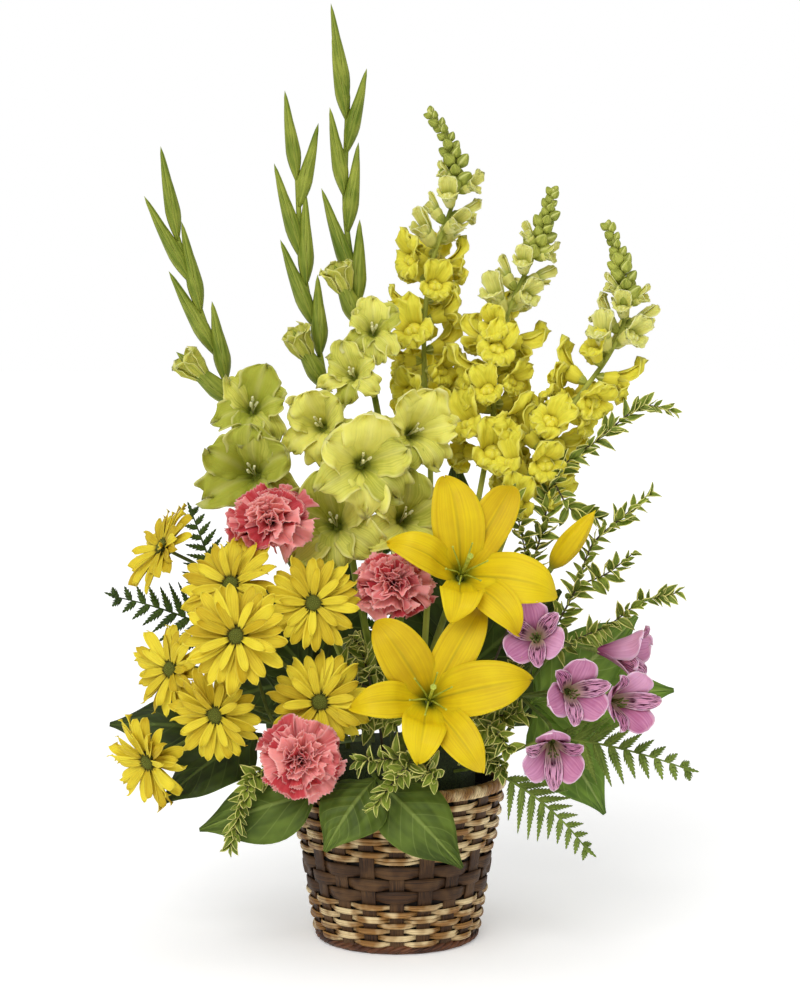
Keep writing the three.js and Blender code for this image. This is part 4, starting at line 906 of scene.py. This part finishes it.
for name, foot, at, facing, phase_turn, tepal_shapes in LILIES:
    at, facing, seat = posed(at, facing)
    tepals = []
    for k, (own_turn, reach) in enumerate(tepal_shapes):
        broad = k % 2 == 0
        phase = vary(0, 6.3)
        long = reach * vary(0.98, 1.03)
        droop = vary(-3, 2)

        def lift(u, v):
            groove = -1.5 * exp(-((u / 0.11) ** 2)) * sin(pi * min(1, v * 1.15)) ** 0.5
            ruffle = 2.2 * sin(8 * v + phase + u) * abs(u) ** 2.5 * v
            return 3.4 * u * u * (1 - 0.7 * v) + groove + ruffle

        up = 2 if broad else 0
        forward = (1 - long) * 18
        profile = [(3, 1), (9, 14 + up), (18 + 2 * long, 26 + up),
                   (38 * long, 36.5 + up + forward * 0.5), (57 * long, 41 + up + droop * 0.4 + forward),
                   (70 * long, 38 + up + droop + forward), (80 * long, 28 + up + 2 * droop + forward)]
        half = (21.5 if broad else 16.5) * (0.5 + 0.5 * long)
        outline = (0.22, 0.5 if broad else 0.54, 1.5, 0.85)
        made = petal(profile, half, outline, lift, (12, 24), 0.8, vary(-5, 5))
        turn = phase_turn + k * pi / 3 + radians(own_turn)
        tepals.append(moved(made, seat @ spun(turn), vary(0.3, 0.9)))
    settle(tepals, f"lily_{name}_tepals", golden, "lily_petal", f"lily_{name}_petals")
    path = stem_to(foot, at - facing * 8, facing)
    parts = [stalk([*path, at + facing * 3], 3.2, 2.8)]
    if name == "upper":
        fork = path[round(len(path) * 0.72)]
        elbow = fork.lerp(BUD_ROOT, 0.5) + Vector((6, 8, -6))
        arm = smooth_path([fork, elbow, BUD_ROOT - BUD_WAY * 2, BUD_ROOT + BUD_WAY * 4])
        parts.append(stalk(arm, 2.1, 2.4))
    settle(parts, f"lily_{name}_stalk", lily_green, "lily_green", f"lily_{name}_stem")
    heart = []
    for k in range(6):
        turn = k * pi / 3 + 0.3 + vary(-0.1, 0.1)
        tip = around(17, turn, 44 * vary(0.94, 1.04))
        half_anther = Vector((0, 0, 1.2))
        heart.append(stalk(smooth_path([(0, 0, 0), around(4, turn, 22), tip]), 1.0, 0.55, 0))
        heart.append(stalk([tip + half_anther, tip, tip - half_anther], 0.9, 0.7, 0))
    heart.append(stalk(smooth_path([(0, 0, 0), (0.5, 1, 24), (1.5, 3.5, 50)]), 1.6, 1.1, 1))
    heart.append(stalk([(1.4, 3.4, 49), (1.5, 3.6, 52), (1.5, 3.7, 54)], 2.1, 2.6, 1))
    settle(seated(heart, seat), f"lily_{name}_stamens", heart_green, "lily_green", f"lily_{name}_stem")

bud = skin(36, 18, (0.01, 6.6, 8.9, 9.0, 7.4, 4.6, 0.01), 66,
           swell=lambda turn, v: 1 + 0.09 * cos(6 * turn) * sin(pi * v))
moved(bud, facing_frame(BUD_ROOT, BUD_WAY), 0.6)
settle([bud], "lily_bud_tepals", golden, "lily_petal", "lily_bud")

# ---- Carnations ----
# Three full heads of thin petals packed in six layers, with folded, pinked edges. A smooth grey-green
# calyx holds each head on its stem.

# Each carnation: place, way it faces, foot, size, and height of the head as a share of its width.
CARNATIONS = [
    ((-100, -48, 346), (-0.15, -0.82, 0.5), (-20, 8), 37, 0.84),
    ((-3, -68, 298), (0.0, -0.9, 0.42), (-4, -12), 34, 0.86),
    ((-75, -112, 169), (0.02, -0.98, 0.05), (-22, -40), 34, 1.0),
]
# Each layer: how many petals, their tilt in degrees, their share of the size, and their rise.
CARNATION_LAYERS = [(8, -4, 1.04, 2), (8, 12, 0.98, 3), (7, 30, 0.9, 4), (6, 48, 0.82, 5),
                    (5, 64, 0.74, 6), (4, 80, 0.68, 6)]
# The deep red at the petals' roots, in the heart of each head, is painted shade.
coral = petals_finish("carnation_coral", "be3842", "fa9f9b", "fdc8c2", "981a22", 0.78, 16.0, 0.0004,
                      0.05, 0.6, 0.4)
grey_green = living("carnation_green", "56693f", "849060", roughness=0.55)


def carnation_petal(folds, depth, phase):
    """A fan-shaped petal 1 unit long, smooth at its claw and deeply folded and toothed at its edge."""

    def place(u, v):
        spread = 0.7 * (0.14 + 0.86 * v**1.15)
        teeth = 0.03 * sin(u * 52 + phase) * v**12 + 0.03 * sin(u * 9 + phase) * v**6
        out = v * (1 - 0.16 * u * u * v) + teeth
        fold = depth * sin(folds * u + phase) * v**2
        crimp = 0.35 * depth * sin(2.7 * folds * u + 2 * phase) * v**4
        hollow = 0.12 * sin(pi * v * 0.9) + 0.08 * v**4
        return Vector((out, spread * u, hollow + (fold + crimp)))

    return thickened(sheet(32, 10, place), 0.012)


fans = [carnation_petal(3.4 + 0.8 * k, 0.17 + 0.04 * (k % 2), 1.3 * k) for k in range(6)]
for number, (at, facing, foot, size, low) in enumerate(CARNATIONS, 1):
    at, facing, seat = posed(at, facing)
    petals = []
    for count, tilt, grown, rise in CARNATION_LAYERS:
        for k in range(count):
            turn = tau * (k + vary(-0.25, 0.25)) / count + tilt
            lean = radians(tilt + vary(-9, 9))
            scale = size * 0.85 * grown * vary(0.82, 1.12)
            grow = stretched(scale, scale * (1.0 - tilt * 0.005), scale)
            place = (spun(turn) @ Matrix.Translation((1.5, 0, rise)) @ spun(-lean, "Y")
                     @ spun(vary(-0.4, 0.4), "X") @ grow)
            lowered = seat @ stretched(1, low, 1) @ place
            petals.append(copied(luck.choice(fans), lowered, vary(-0.4, 1.4)))
    settle(petals, f"carnation_{number}_head", coral, "carnation_petal", f"carnation_{number}_petals")
    path = stem_to(foot, at - facing * 20, facing)
    calyx = skin(12, 10, (0.01, 3.4, 5.4, 6.0, 5.4, 5.2, 0.01), 27, bottom=-23)
    parts = [stalk([*path, at - facing * 16], 2.0, 1.8), moved(calyx, seat)]
    settle(parts, f"carnation_{number}_stalk", grey_green, "carnation_green", f"carnation_{number}_stem")
discard(*fans)

# ---- Alstroemeria ----
# Five mauve florets on one branched stem. Three broad outer tepals stand between three narrow upper
# ones, which are pale yellow at the root and streaked with dark purple, round six slim stamens.
FLORETS = [
    ((112, -76, 258), (-0.15, -0.95, 0.2)),
    ((160, -58, 246), (0.95, -0.3, -0.1)),
    ((133, -92, 218), (0.2, -0.95, 0.12)),
    ((166, -72, 209), (0.5, -0.84, 0.05)),
    ((122, -88, 180), (0.0, -0.93, -0.3)),
]
# The two kinds of tepal: half width, outline, points across and along, and frill.
BROAD_TEPAL = (13.8, (0.2, 0.68, 2.2, 0.6), (10, 20), 0.05)
NARROW_TEPAL = (7.4, (0.25, 0.62, 1.6, 0.75), (6, 12), 0.0)
mauve = petals_finish("alstroemeria_mauve", "aa5c88", "e3a8c9", "f4d6e6", "7c3458", 0.62, 18.0,
                      0.0003, 0.1)
streaked = petals_finish("alstroemeria_streaked", "b0628e", "e3abc9", "f2d4e4", "dcc79c", 0.6, 18.0,
                         0.0003, 0.1)
along = streaked.along()
dashes = streaked.streaks(22.0, 4.0, 1.0).between(0.5, 0.56)
marks = dashes * along.between(0.25, 0.45) * along.between(0.96, 0.85)
streaked.paint(streaked.colour, (marks, "45112c"))
alstroemeria_green = living("alstroemeria_green", "4a5c22", "78853c")
fork = Vector((100, -34, 206))
path = in_foam((38, -22), [fork])
rise = (path[-1] - path[-3]).normalized()
parts = [stalk(path, 2.2, 2.0)]
for number, (at, facing) in enumerate(FLORETS, 1):
    at, facing, seat = posed(at, facing)
    outer, inner = [], []
    for k in range(6):
        narrow = k % 2
        long = vary(0.97, 1.07)
        phase = vary(0, 6.3)

        def lift(u, v):
            ruffle = 1.1 * sin(8 * v + phase + 2 * u) * abs(u) ** 2.5 * v
            return 2.4 * u * u + ruffle - 0.6 * exp(-((u / 0.18) ** 2))

        profile = [(2, 1), (4.5, 9), (8, 17), (12, 24.5 + narrow), (16.5 * long, 30.5 + narrow),
                   (21 * long, 35 + narrow), (25.5 * long, 37.5 - narrow)]
        half, outline, points, frill = NARROW_TEPAL if narrow else BROAD_TEPAL
        made = petal(profile, half, outline, lift, points, 0.5, vary(-1, 1), frill)
        place = seat @ spun(pi / 2 + k * pi / 3 + vary(-0.06, 0.06))
        (inner if narrow else outer).append(moved(made, place, vary(0.2, 0.9)))
    node = f"alstroemeria_{number}_petals"
    settle(outer, f"alstroemeria_{number}_outer", mauve, "alstroemeria_petal", node)
    settle(inner, f"alstroemeria_{number}_inner", streaked, "alstroemeria_petal", node)
    back = at - facing * 6
    neck = [fork - rise, back - facing * (back - fork).length * 0.3, back, at + facing * 2]
    parts.append(stalk(smooth_path(neck), 1.3, 1.5))
    parts.append(stalk([at - facing * 8, at - facing * 4, at, at + facing * 5], 1.6, 2.8))
    parts += seated(stamens(6, 24, 3.2, -1.5, 0.45), seat)
settle(parts, "alstroemeria_stalks", alstroemeria_green, "alstroemeria_green", "alstroemeria_stem")

# ---- Snapdragons ----
# Three spikes of pouched, two-lipped florets set round the stem by the golden turn: open ones below,
# half-open ones above them, and tight green buds at the bent tip.

# Each spike: name, foot, the heights where open florets, half-open ones and buds start, and its route.
SNAPDRAGONS = [
    ("left", (18, 38), (432, 566, 612),
     [(27, 56, 300), (28, 57, 393), (24, 58, 446), (23, 58, 502), (29, 58, 557), (42, 58, 594),
      (50, 58, 623), (42, 58, 661), (26, 58, 686)]),
    ("middle", (32, 22), (398, 508, 556),
     [(60, 22, 320), (75, 22, 401), (80, 23, 432), (81, 24, 477), (87, 24, 502), (98, 24, 531),
      (114, 24, 566), (123, 24, 591), (129, 24, 618)]),
    ("right", (43, 6), (362, 478, 516),
     [(80, -8, 310), (101, -11, 363), (124, -6, 412), (150, -2, 449), (173, -2, 481), (186, -2, 510),
      (187, -2, 534), (182, -2, 557), (171, -2, 590)]),
]
OPEN_FLORETS = 18
HALF_OPEN_FLORETS = 9
TIP_BUDS = 26
BUD_REACH = 0.94
soft_yellow = petals_finish("snapdragon_yellow", "ccc02c", "f5ea50", "f6f298", "b4a834", 0.35, 12.0,
                            0.0005, 0.1, 0.6, 0.25)
half_open = petals_finish("snapdragon_half_open", "bdbb52", "ece98a", "f4f2bc", "9aa544", 0.4, 12.0,
                          0.0005, 0.12, 0.6)
spike_green = living("snapdragon_green", "76822c", "bcc056", "d4d682", 0.06, 0.6)


def lobe(turn, half, stations, ruffle, phase):
    """One lobe of a lip, spread from the mouth of the tube on +Z, with a crinkled edge."""

    def lift(u, v):
        waves = sin(5 * u + 4 * v + phase) + 0.6 * sin(10 * u - 5 * v + 2 * phase)
        return 1.6 * u * u * (1 - v) + ruffle * waves * v

    made = petal(stations, half, (0.6, 0.55, 2.2), lift, (10, 8), 0.6, 0.8 * sin(phase), 0.12)
    return moved(made, spun(radians(turn)), 0.7)


def snap_floret(phase, open_share):
    """Two upright lobes above, three turned down below, and a pouched tube closed by two palates. A
    floret that has only begun to open is smaller, with its lobes still folded together."""
    tube = skin(12, 8, (0.01, 3.8, 5.0, 5.8, 6.4, 5.2, 0.01), 18.5, bend=1.0,
                swell=lambda turn, v: 1 + 0.12 * cos(turn + pi), fuse=0.01)
    made = [moved(tube, tint=0.35)]
    out = 0.25 + 0.75 * open_share
    shut = 1 - out
    upper = [(4.4, 13), (5.5, 19), (5 + 4.5 * out, 25 + 2 * shut), (4 + 9 * out, 28 + 3 * shut),
             (3 + 17 * out, 29 + 6 * shut)]
    lower = [(4.6, 13), (5 + 3 * out, 19 + shut), (4.5 + 8 * out, 20.5 + 4 * shut),
             (4 + 12 * out, 15 + 12 * shut)]
    for turn, half in ((25, 9.8), (-23, 9.2), (134, 9.2), (180, 9.6), (228, 9.4)):
        stations, ruffle = (upper, 2.4) if turn < 90 else (lower, 1.8)
        made.append(lobe(turn, half * (0.6 + 0.4 * out), stations, ruffle * out, phase + turn))
    for side in (-1, 1):
        seat = Matrix.Translation((-2.6, side * 2.2, 16.6)) @ stretched(3.6, 4.2, 3.8)
        made.append(moved(ball(12, 8), seat, 0.25))
    return joined(made)


def standing_off(way, turn, rise):
    """A direction round the stem, rising by rise."""
    side = Vector((0, -1, 0)).cross(way).normalized()
    front = way.cross(side).normalized()
    return (side * sin(turn) + front * cos(turn) + way * rise).normalized()


def set_on(point, way, out, scale):
    """The seat of a floret whose +Z looks out and whose +X is its upper side."""
    upper = (way - out * way.dot(out)).normalized()
    turn = Matrix((upper, out.cross(upper), out)).transposed().to_4x4()
    return Matrix.Translation(point) @ turn @ Matrix.Scale(scale, 4)


def up_the_stem(path, low, high, count, reach=1.0):
    """Evenly spaced spots of a path between two heights, or of a share of it from below. Each is its
    number, its place in the row from 0 to 1, its point, and the path's way there."""
    inside = [at_height(path, low)[0], *[p for p in path if low < p.z < high], at_height(path, high)[0]]
    lengths = [0.0]
    for a, b in zip(inside, inside[1:]):
        lengths.append(lengths[-1] + (b - a).length)
    for k in range(count):
        share = k / (count - 1)
        wanted = lengths[-1] * (share * reach)
        i = next((i for i in range(1, len(inside)) if lengths[i] >= wanted), len(inside) - 1)
        part = (wanted - lengths[i - 1]) / max(lengths[i] - lengths[i - 1], 1e-6)
        yield k, share, inside[i - 1].lerp(inside[i], part), (inside[i] - inside[i - 1]).normalized()


open_kinds = [snap_floret(1.7 * k, share) for k, share in enumerate((1.0, 0.85, 1.0, 0.7, 0.92))]
folded_kinds = [snap_floret(1.7 * k, 0.22 * k) for k in range(3)]
bud_kind = pod(1, 0.34, 0.34, 0.5)
for name, foot, (low, middle, high), route in SNAPDRAGONS:
    path = in_foam(foot, route)
    yellow, opening, green = [], [], [stalk(path, 3.1, 1.6)]
    for i, share, point, way in up_the_stem(path, low - 6, middle, OPEN_FLORETS):
        out = standing_off(way, i * GOLDEN_TURN + vary(-0.4, 0.4), 0.3 + vary(-0.35, 0.3))
        scale = (1.26 - 0.22 * share) * vary(0.82, 1.1)
        seat = set_on(point + out * 3.2, way, out, scale) @ spun(vary(-0.5, 0.5))
        yellow.append(copied(luck.choice(open_kinds), seat))
        green.append(copied(bud_kind, stood(point + out, out, way) @ Matrix.Scale(13, 4), 0.4))
    for i, share, point, way in up_the_stem(path, middle + 4, high + 12, HALF_OPEN_FLORETS):
        out = standing_off(way, (i + 0.4) * GOLDEN_TURN, 0.6 + vary(-0.15, 0.25))
        scale = (1.1 - 0.42 * share) * vary(0.9, 1.1)
        seat = set_on(point + out * 2.4, way, out, scale) @ spun(vary(-0.3, 0.3))
        opening.append(copied(luck.choice(folded_kinds), seat))
        green.append(copied(bud_kind, stood(point + out, out, way) @ Matrix.Scale(14, 4), 0.4))
    for i, share, point, way in up_the_stem(path, high + 4, path[-1].z, TIP_BUDS, BUD_REACH):
        out = standing_off(way, (i + 0.2) * GOLDEN_TURN + vary(-0.3, 0.3), 0.8 + 0.4 * share)
        length = (15.5 - 7.5 * share) * vary(0.85, 1.15)
        seat = stood(point + out * 3 * (1 - share), out, way)
        green.append(copied(bud_kind, seat @ stretched(length, length * 1.1, length * 1.1), 0.6))
    node = f"snapdragon_{name}_florets"
    settle(yellow, f"snapdragon_{name}_open", soft_yellow, "snapdragon_petal", node)
    settle(opening, f"snapdragon_{name}_half_open", half_open, "snapdragon_petal", node)
    settle(green, f"snapdragon_{name}_spike", spike_green, "snapdragon_stem", f"snapdragon_{name}_stem")
discard(*open_kinds, *folded_kinds, bud_kind)

# ---- Salal leaves ----
# Broad, leathery leaves with a raised pale vein net, wavy edges and a drawn-out tip, each on a short
# stalk from a woody stem that stands in the foam's side.
def broad_leaf(name, dark, light, edge, vein):
    """A broad leaf's green, with a pale rib and side veins, and the puckers between them."""
    finish = living(name, dark, light, edge, 0.02, veins=5.0)
    from_rib = finish.from_rib() * 2
    waves = ((finish.along() * 15 - from_rib * 4.2) * 3.1416).sine()
    veins = waves.between(0.93, 1.0) * from_rib.between(1.0, 0.7)
    rib = from_rib.between(0.09, 0.02)
    finish.paint(finish.colour, (veins * 0.22 + rib * 0.55, vein))
    finish.raised(waves * 0.6 + rib, 0.0007, 0.7)
    return finish


# One salal leaf in three greens by where it stands: darkest at the back and left, lighter at the front,
# lightest on the right. The differences are painted shade and painted light.
salal_green = broad_leaf("salal_green", "222c0b", "45551a", "526420", "6c7d38")
painted_light_front_salal = broad_leaf("painted_light_front_salal", "36460f", "64782a", "6f8432", "8c9d4c")
lit_salal_green = broad_leaf("lit_salal_green", "44601a", "7d9c38", "8aa644", "a8b868")
# Each branch: name, green, foot and stem; its leaves as tip, upper side and half width, and for one of
# them the share of its length that is bare stalk.
SALAL = [
    ("salal_left", salal_green, (-66, 8, 146), [(-96, 6, 160), (-114, 0, 168)],
     [((-238, 2, 176), (-0.1, -0.85, 0.5), 33), ((-192, -34, 116), (-0.4, -0.7, 0.6), 30)]),
    ("salal_front", painted_light_front_salal, (-16, -65, 146), [(-20, -84, 152), (-16, -92, 148)],
     [((-56, -122, 97), (-0.2, -0.9, 0.4), 27), ((51, -122, 84), (0.1, -0.95, 0.3), 28),
      ((-157, -80, 105), (-0.2, -0.85, 0.5), 29, 0.32)]),
    ("salal_right", lit_salal_green, (66, 8, 146), [(96, 2, 176), (112, -5, 197)],
     [((228, -8, 206), (0.2, -0.9, 0.4), 31), ((196, -20, 269), (0.2, -0.95, -0.2), 33),
      ((172, -4, 102), (0.3, -0.9, 0.2), 31)]),
    ("salal_back_left", salal_green, (-38, 55, 150), [(-62, 80, 186), (-72, 86, 204)],
     [((-150, 70, 290), (-0.3, 0.9, 0.2), 32), ((-96, 128, 108), (-0.2, 0.9, 0.4), 32),
      ((-44, 94, 320), (0, 1, -0.2), 33), ((-168, 74, 178), (-0.2, 0.95, 0.2), 32),
      ((8, 82, 232), (0.1, 1, 0.1), 32)]),
    ("salal_back_right", salal_green, (34, 57, 150), [(50, 84, 192), (56, 88, 208)],
     [((50, 74, 394), (0, 1, 0.1), 36), ((140, 70, 280), (0.3, 0.9, 0.1), 32),
      ((70, 130, 102), (0.1, 0.9, 0.4), 33), ((152, 78, 168), (0.2, 0.95, 0.2), 32),
      ((-4, 74, 300), (-0.1, 1, 0.1), 30)]),
]
LEAF_ARCH = 9
LEAF_CUP = -5
LEAF_WAVE = 2.4
LEAF_WIDTHS = (0.1, 0.72, 0.97, 1.0, 0.88, 0.62, 0.26, 0.01)


def leaf(root, tip, up, half, phase, bare=0.06):
    """A leaf from root to tip that bows along its length; its narrow neck is its stalk."""
    along_way = Vector(tip) - root
    side = along_way.cross(Vector(up)).normalized()
    normal = side.cross(along_way).normalized()

    def place(u, v):
        grown = max(0.0, (v - bare) / (1 - bare))
        wide = 0.045 + 0.955 * through_one(LEAF_WIDTHS, grown) if grown else 0.05
        ripple = LEAF_WAVE * sin(11 * v + phase + (1.3 if u > 0 else 0)) * abs(u) ** 2
        level = LEAF_ARCH * 4 * v * (1 - v) + LEAF_CUP * wide * u * u + ripple * wide
        return root + along_way * v + side * (u * half * wide) + normal * level

    return thickened(sheet(12, 24, place), 0.9)


for name, green, foot, stem, leaves in SALAL:
    root = Vector(stem[-1]).lerp(Vector(stem[0]), 0.12)
    parts = [stalk(in_foam(foot, stem), 1.9, 1.6)]
    for k, (tip, up, half, *bare) in enumerate(leaves):
        parts.append(leaf(root, tip, up, half, 2.1 * k, *bare))
    settle(parts, name + "_leaves", green, "salal", name)

# ---- Leatherleaf fern ----
# Flat, arched fronds: toothed leaflets in pairs along a green rib, longest near the root. Each frond
# is a cut leaf whose stem is pushed into the foam's side.
# One fern in two greens by where it stands: the right and front-right fronds are painted lighter, as
# painted light, and the others darker, as painted shade.
fern_green = living("fern_green", "25330f", "4e6024", None, 0.04, veins=5.0)
lit_fern_green = living("lit_fern_green", "4c5f1c", "889a44", None, 0.04, 0.55, 5.0)
# Each fern: name, green, foot and stem, and its one or two fronds as tip, upper side and half width.
FERNS = [
    ("fern_left", fern_green, (-60, 28, 148), [(-100, 26, 200), (-138, 16, 246)],
     [((-236, -6, 284), (0.1, -0.85, 0.5), 44), ((-173, 36, 352), (0.1, -1, 0), 34)]),
    ("fern_right", lit_fern_green, (65, -16, 146), [(100, -24, 160), (126, -32, 172)],
     [((238, -60, 148), (0.1, -0.85, 0.5), 42)]),
    ("fern_front_right", lit_fern_green, (48, -46, 146), [(74, -74, 156), (84, -84, 150)],
     [((151, -104, 92), (0.3, -0.8, 0.5), 40)]),
    ("fern_back", fern_green, (0, 67, 150), [(-4, 92, 184), (-8, 106, 214)],
     [((-14, 124, 330), (0, 1, -0.1), 46)]),
]
LEAFLET_PAIRS = 9
FROND_ARCH = 10.0


def frond(root, tip, up, half):
    """The frond's rib and its leaflets, which droop a little to each side."""
    along_way = Vector(tip) - root
    length = along_way.length
    along_way.normalize()
    side = along_way.cross(Vector(up)).normalized()
    normal = side.cross(along_way).normalized()

    def on_rib(share):
        return root + along_way * length * share + normal * FROND_ARCH * 4 * share * (1 - share)

    def end_leaflet(u, v):
        wide = 3.2 * (1 - v) ** 0.7 * (0.5 + 0.5 * abs(sin(13 * v)))
        return on_rib(0.93) + along_way * 13 * v + side * u * wide

    made = [stalk([on_rib(i / 12) for i in range(13)], 1.2, 0.5, 1)]
    pitch = length / LEAFLET_PAIRS
    for i in range(LEAFLET_PAIRS):
        share = i / (LEAFLET_PAIRS - 1)
        long = half * (0.75 + 0.25 * sin(pi * min(1, share * 2))) * (1 - 0.8 * share**1.4) + 4
        teeth = max(4, round(long / 3.6))
        for hand in (-1, 1):
            start = on_rib(0.03 + 0.9 * share + 0.02 * hand)
            way = (side * hand + along_way * (0.75 - 0.15 * share) - normal * 0.16).normalized()
            cross = normal.cross(way).normalized()
            sag = vary(0.5, 3.0)

            def leaflet(u, v):
                phase = (v * teeth) % 1.0
                full = (1 - v) ** 0.85 * min(1.0, 0.6 + 2.5 * v)
                tooth = min(phase / 0.3, (1 - phase) / 0.7) ** 0.8
                wide = pitch * 0.5 * full * (0.55 + 0.45 * tooth) * (0.7 + 0.3 * long / half)
                forward = abs(u) * 0.5 * pitch * full * tooth
                spot = start + way * (long * v * 0.92 + forward) + cross * u * wide
                return spot - normal * (sag * v * v + 0.8 * u * u)

            made.append(thickened(sheet(2, 60, leaflet), 0.45))
    return [*made, thickened(sheet(2, 24, end_leaflet), 0.45)]


for name, green, foot, route, (first, *more) in FERNS:
    base, tip = Vector(route[-1]), Vector(first[0])
    root = base.lerp(tip, 0.05)
    parts = frond(root, *first)
    parts.append(stalk(in_foam(foot, [*route, root.lerp(tip, 0.06) + Vector((0, 0, 1))]), 1.4, 1.2))
    for second in more:
        fork = Vector(route[0]).lerp(base, 0.7)
        start = fork.lerp(Vector(second[0]), 0.35)
        parts.append(stalk([fork, fork.lerp(start, 0.5), start], 1.3, 1.2, 1))
        parts += frond(start, *second)
    settle(parts, name + "_frond", green, "fern", name)

# ---- Variegated boxwood ----
# Thin woody twigs with small glossy oval leaves in crossed pairs, green with a cream edge. The sprigs
# are cut from the shrub, and pushed into the foam to fill the gaps between the flowers.

# Each sprig: name, foot, and its twigs. The first one starts in the foam, and the others on the first.
BOXWOOD = [
    ("right_top", (54, -6), [
        [(106, -26, 300), (119, -28, 345), (128, -26, 384), (164, -24, 414), (200, -18, 440),
         (222, -14, 437)],
        [(108, -27, 306), (100, -38, 340), (92, -42, 372)],
        [(128, -27, 380), (142, -30, 356), (162, -30, 350)]]),
    ("right_low", (63, -24, 152), [
        [(112, -30, 232), (144, -38, 292), (158, -40, 330), (182, -42, 352), (200, -42, 368)],
        [(116, -31, 240), (171, -50, 266), (196, -56, 285), (222, -60, 292)],
        [(146, -38, 296), (168, -46, 306), (188, -50, 322)]]),
    ("front", (14, -66, 150), [
        [(16, -100, 168), (4, -122, 160), (-18, -134, 134)],
        [(15, -98, 167), (30, -128, 156)],
        [(14, -104, 168), (-30, -120, 168)]]),
    ("left", (-60, -28, 148), [
        [(-84, -60, 156), (-112, -86, 150), (-131, -104, 98)],
        [(-86, -60, 156), (-104, -88, 172)]]),
    ("middle_right", (28, -36), [
        [(64, -62, 200), (84, -86, 222), (92, -98, 240)],
        [(60, -60, 196), (80, -100, 184), (88, -112, 176)],
        [(62, -61, 198), (80, -74, 196), (98, -84, 200)],
        [(48, -52, 182), (66, -74, 168), (84, -90, 156)],
        [(46, -50, 180), (60, -50, 196), (70, -54, 222)],
        [(46, -50, 180), (62, -56, 168), (76, -60, 178)]]),
    ("middle_left", (-12, -30), [
        [(-22, -48, 220), (-30, -58, 250), (-36, -70, 258)],
        [(-21, -46, 214), (4, -60, 238), (12, -72, 254)],
        [(-20, -44, 205), (-4, -56, 214), (8, -62, 222)],
        [(-21, -46, 212), (-34, -58, 222), (-44, -66, 236)],
        [(-17, -39, 188), (-26, -58, 190), (-34, -72, 186)],
        [(-17, -39, 188), (-8, -56, 192), (-2, -70, 188)]]),
]
box_leaf = living("boxwood_leaf", "40501a", "9cab42", "f0ea8c", 0.16, 0.45, 6.0)
box_twig = Finish("boxwood_twig", Roughness=0.7)
box_twig.paint("3b2c22", (box_twig.speckle(400.0), "5a5136"))


def box_leaf_sheet(cup, bend):
    """One small leaf, 1 unit long."""

    def place(u, v):
        wide = 0.215 * breadth(v, 0.12, 0.42, 1.4, 0.75)
        wave = 0.03 * sin(9 * v + 2 * u + 20 * bend) * abs(u)
        return Vector((v, u * wide + bend * 0.4 * v * v, cup * u * u * wide * 4 + bend * v * v + wave))

    return thickened(sheet(4, 6, place), 0.03)


LEAF_SHAPES = ((0.12, -0.12), (-0.05, 0.14), (0.2, -0.26), (0.1, 0.3))
leaf_kinds = [box_leaf_sheet(*shape) for shape in LEAF_SHAPES]
for name, foot, routes in BOXWOOD:
    first = in_foam(foot, routes[0])
    twigs, leaves = [stalk(first, 1.3, 0.6, 1)], []
    full, spacing = (20, 4.8) if "right_" in name else (20.5, 3.6)
    for t, route in enumerate(routes):
        run = first
        if t:
            near = min(first, key=lambda p: (p - Vector(route[0])).length)
            run = smooth_path([near, *route[1:]])
            twigs.append(stalk(run, 0.9, 0.5, 1))
        bare = 3 if t else max(3, len(run) - len(smooth_path(route)) + 1)
        grown = run[bare:]
        pairs = max(3, round(PATH_STEP * len(grown) / spacing))
        for i in range(pairs):
            young = i / (pairs - 1)
            place = young * (len(grown) - 1)
            before, after = grown[int(place)], grown[min(int(place) + 1, len(grown) - 1)]
            point = before.lerp(after, place % 1)
            way = (after - grown[max(int(place) - 1, 0)]).normalized()
            long = (full - 6 * young) * vary(0.6, 1.15)
            for half_turn in (-pi / 2, pi / 2):
                turn = half_turn * (0.8 - 0.5 * (i % 2)) + vary(-0.6, 0.6)
                out = standing_off(way, turn, 0.45 + 0.7 * young)
                face = way * 0.5 + Vector((vary(-0.8, 0.8), -0.8, vary(0.1, 0.9)))
                seat = stood(point, out, face) @ Matrix.Scale(long, 4)
                leaves.append(copied(luck.choice(leaf_kinds), seat, luck.random()))
    settle(leaves, f"boxwood_{name}_leaves", box_leaf, "boxwood", f"boxwood_{name}")
    settle(twigs, f"boxwood_{name}_twigs", box_twig, "boxwood", f"boxwood_{name}")
discard(*leaf_kinds)
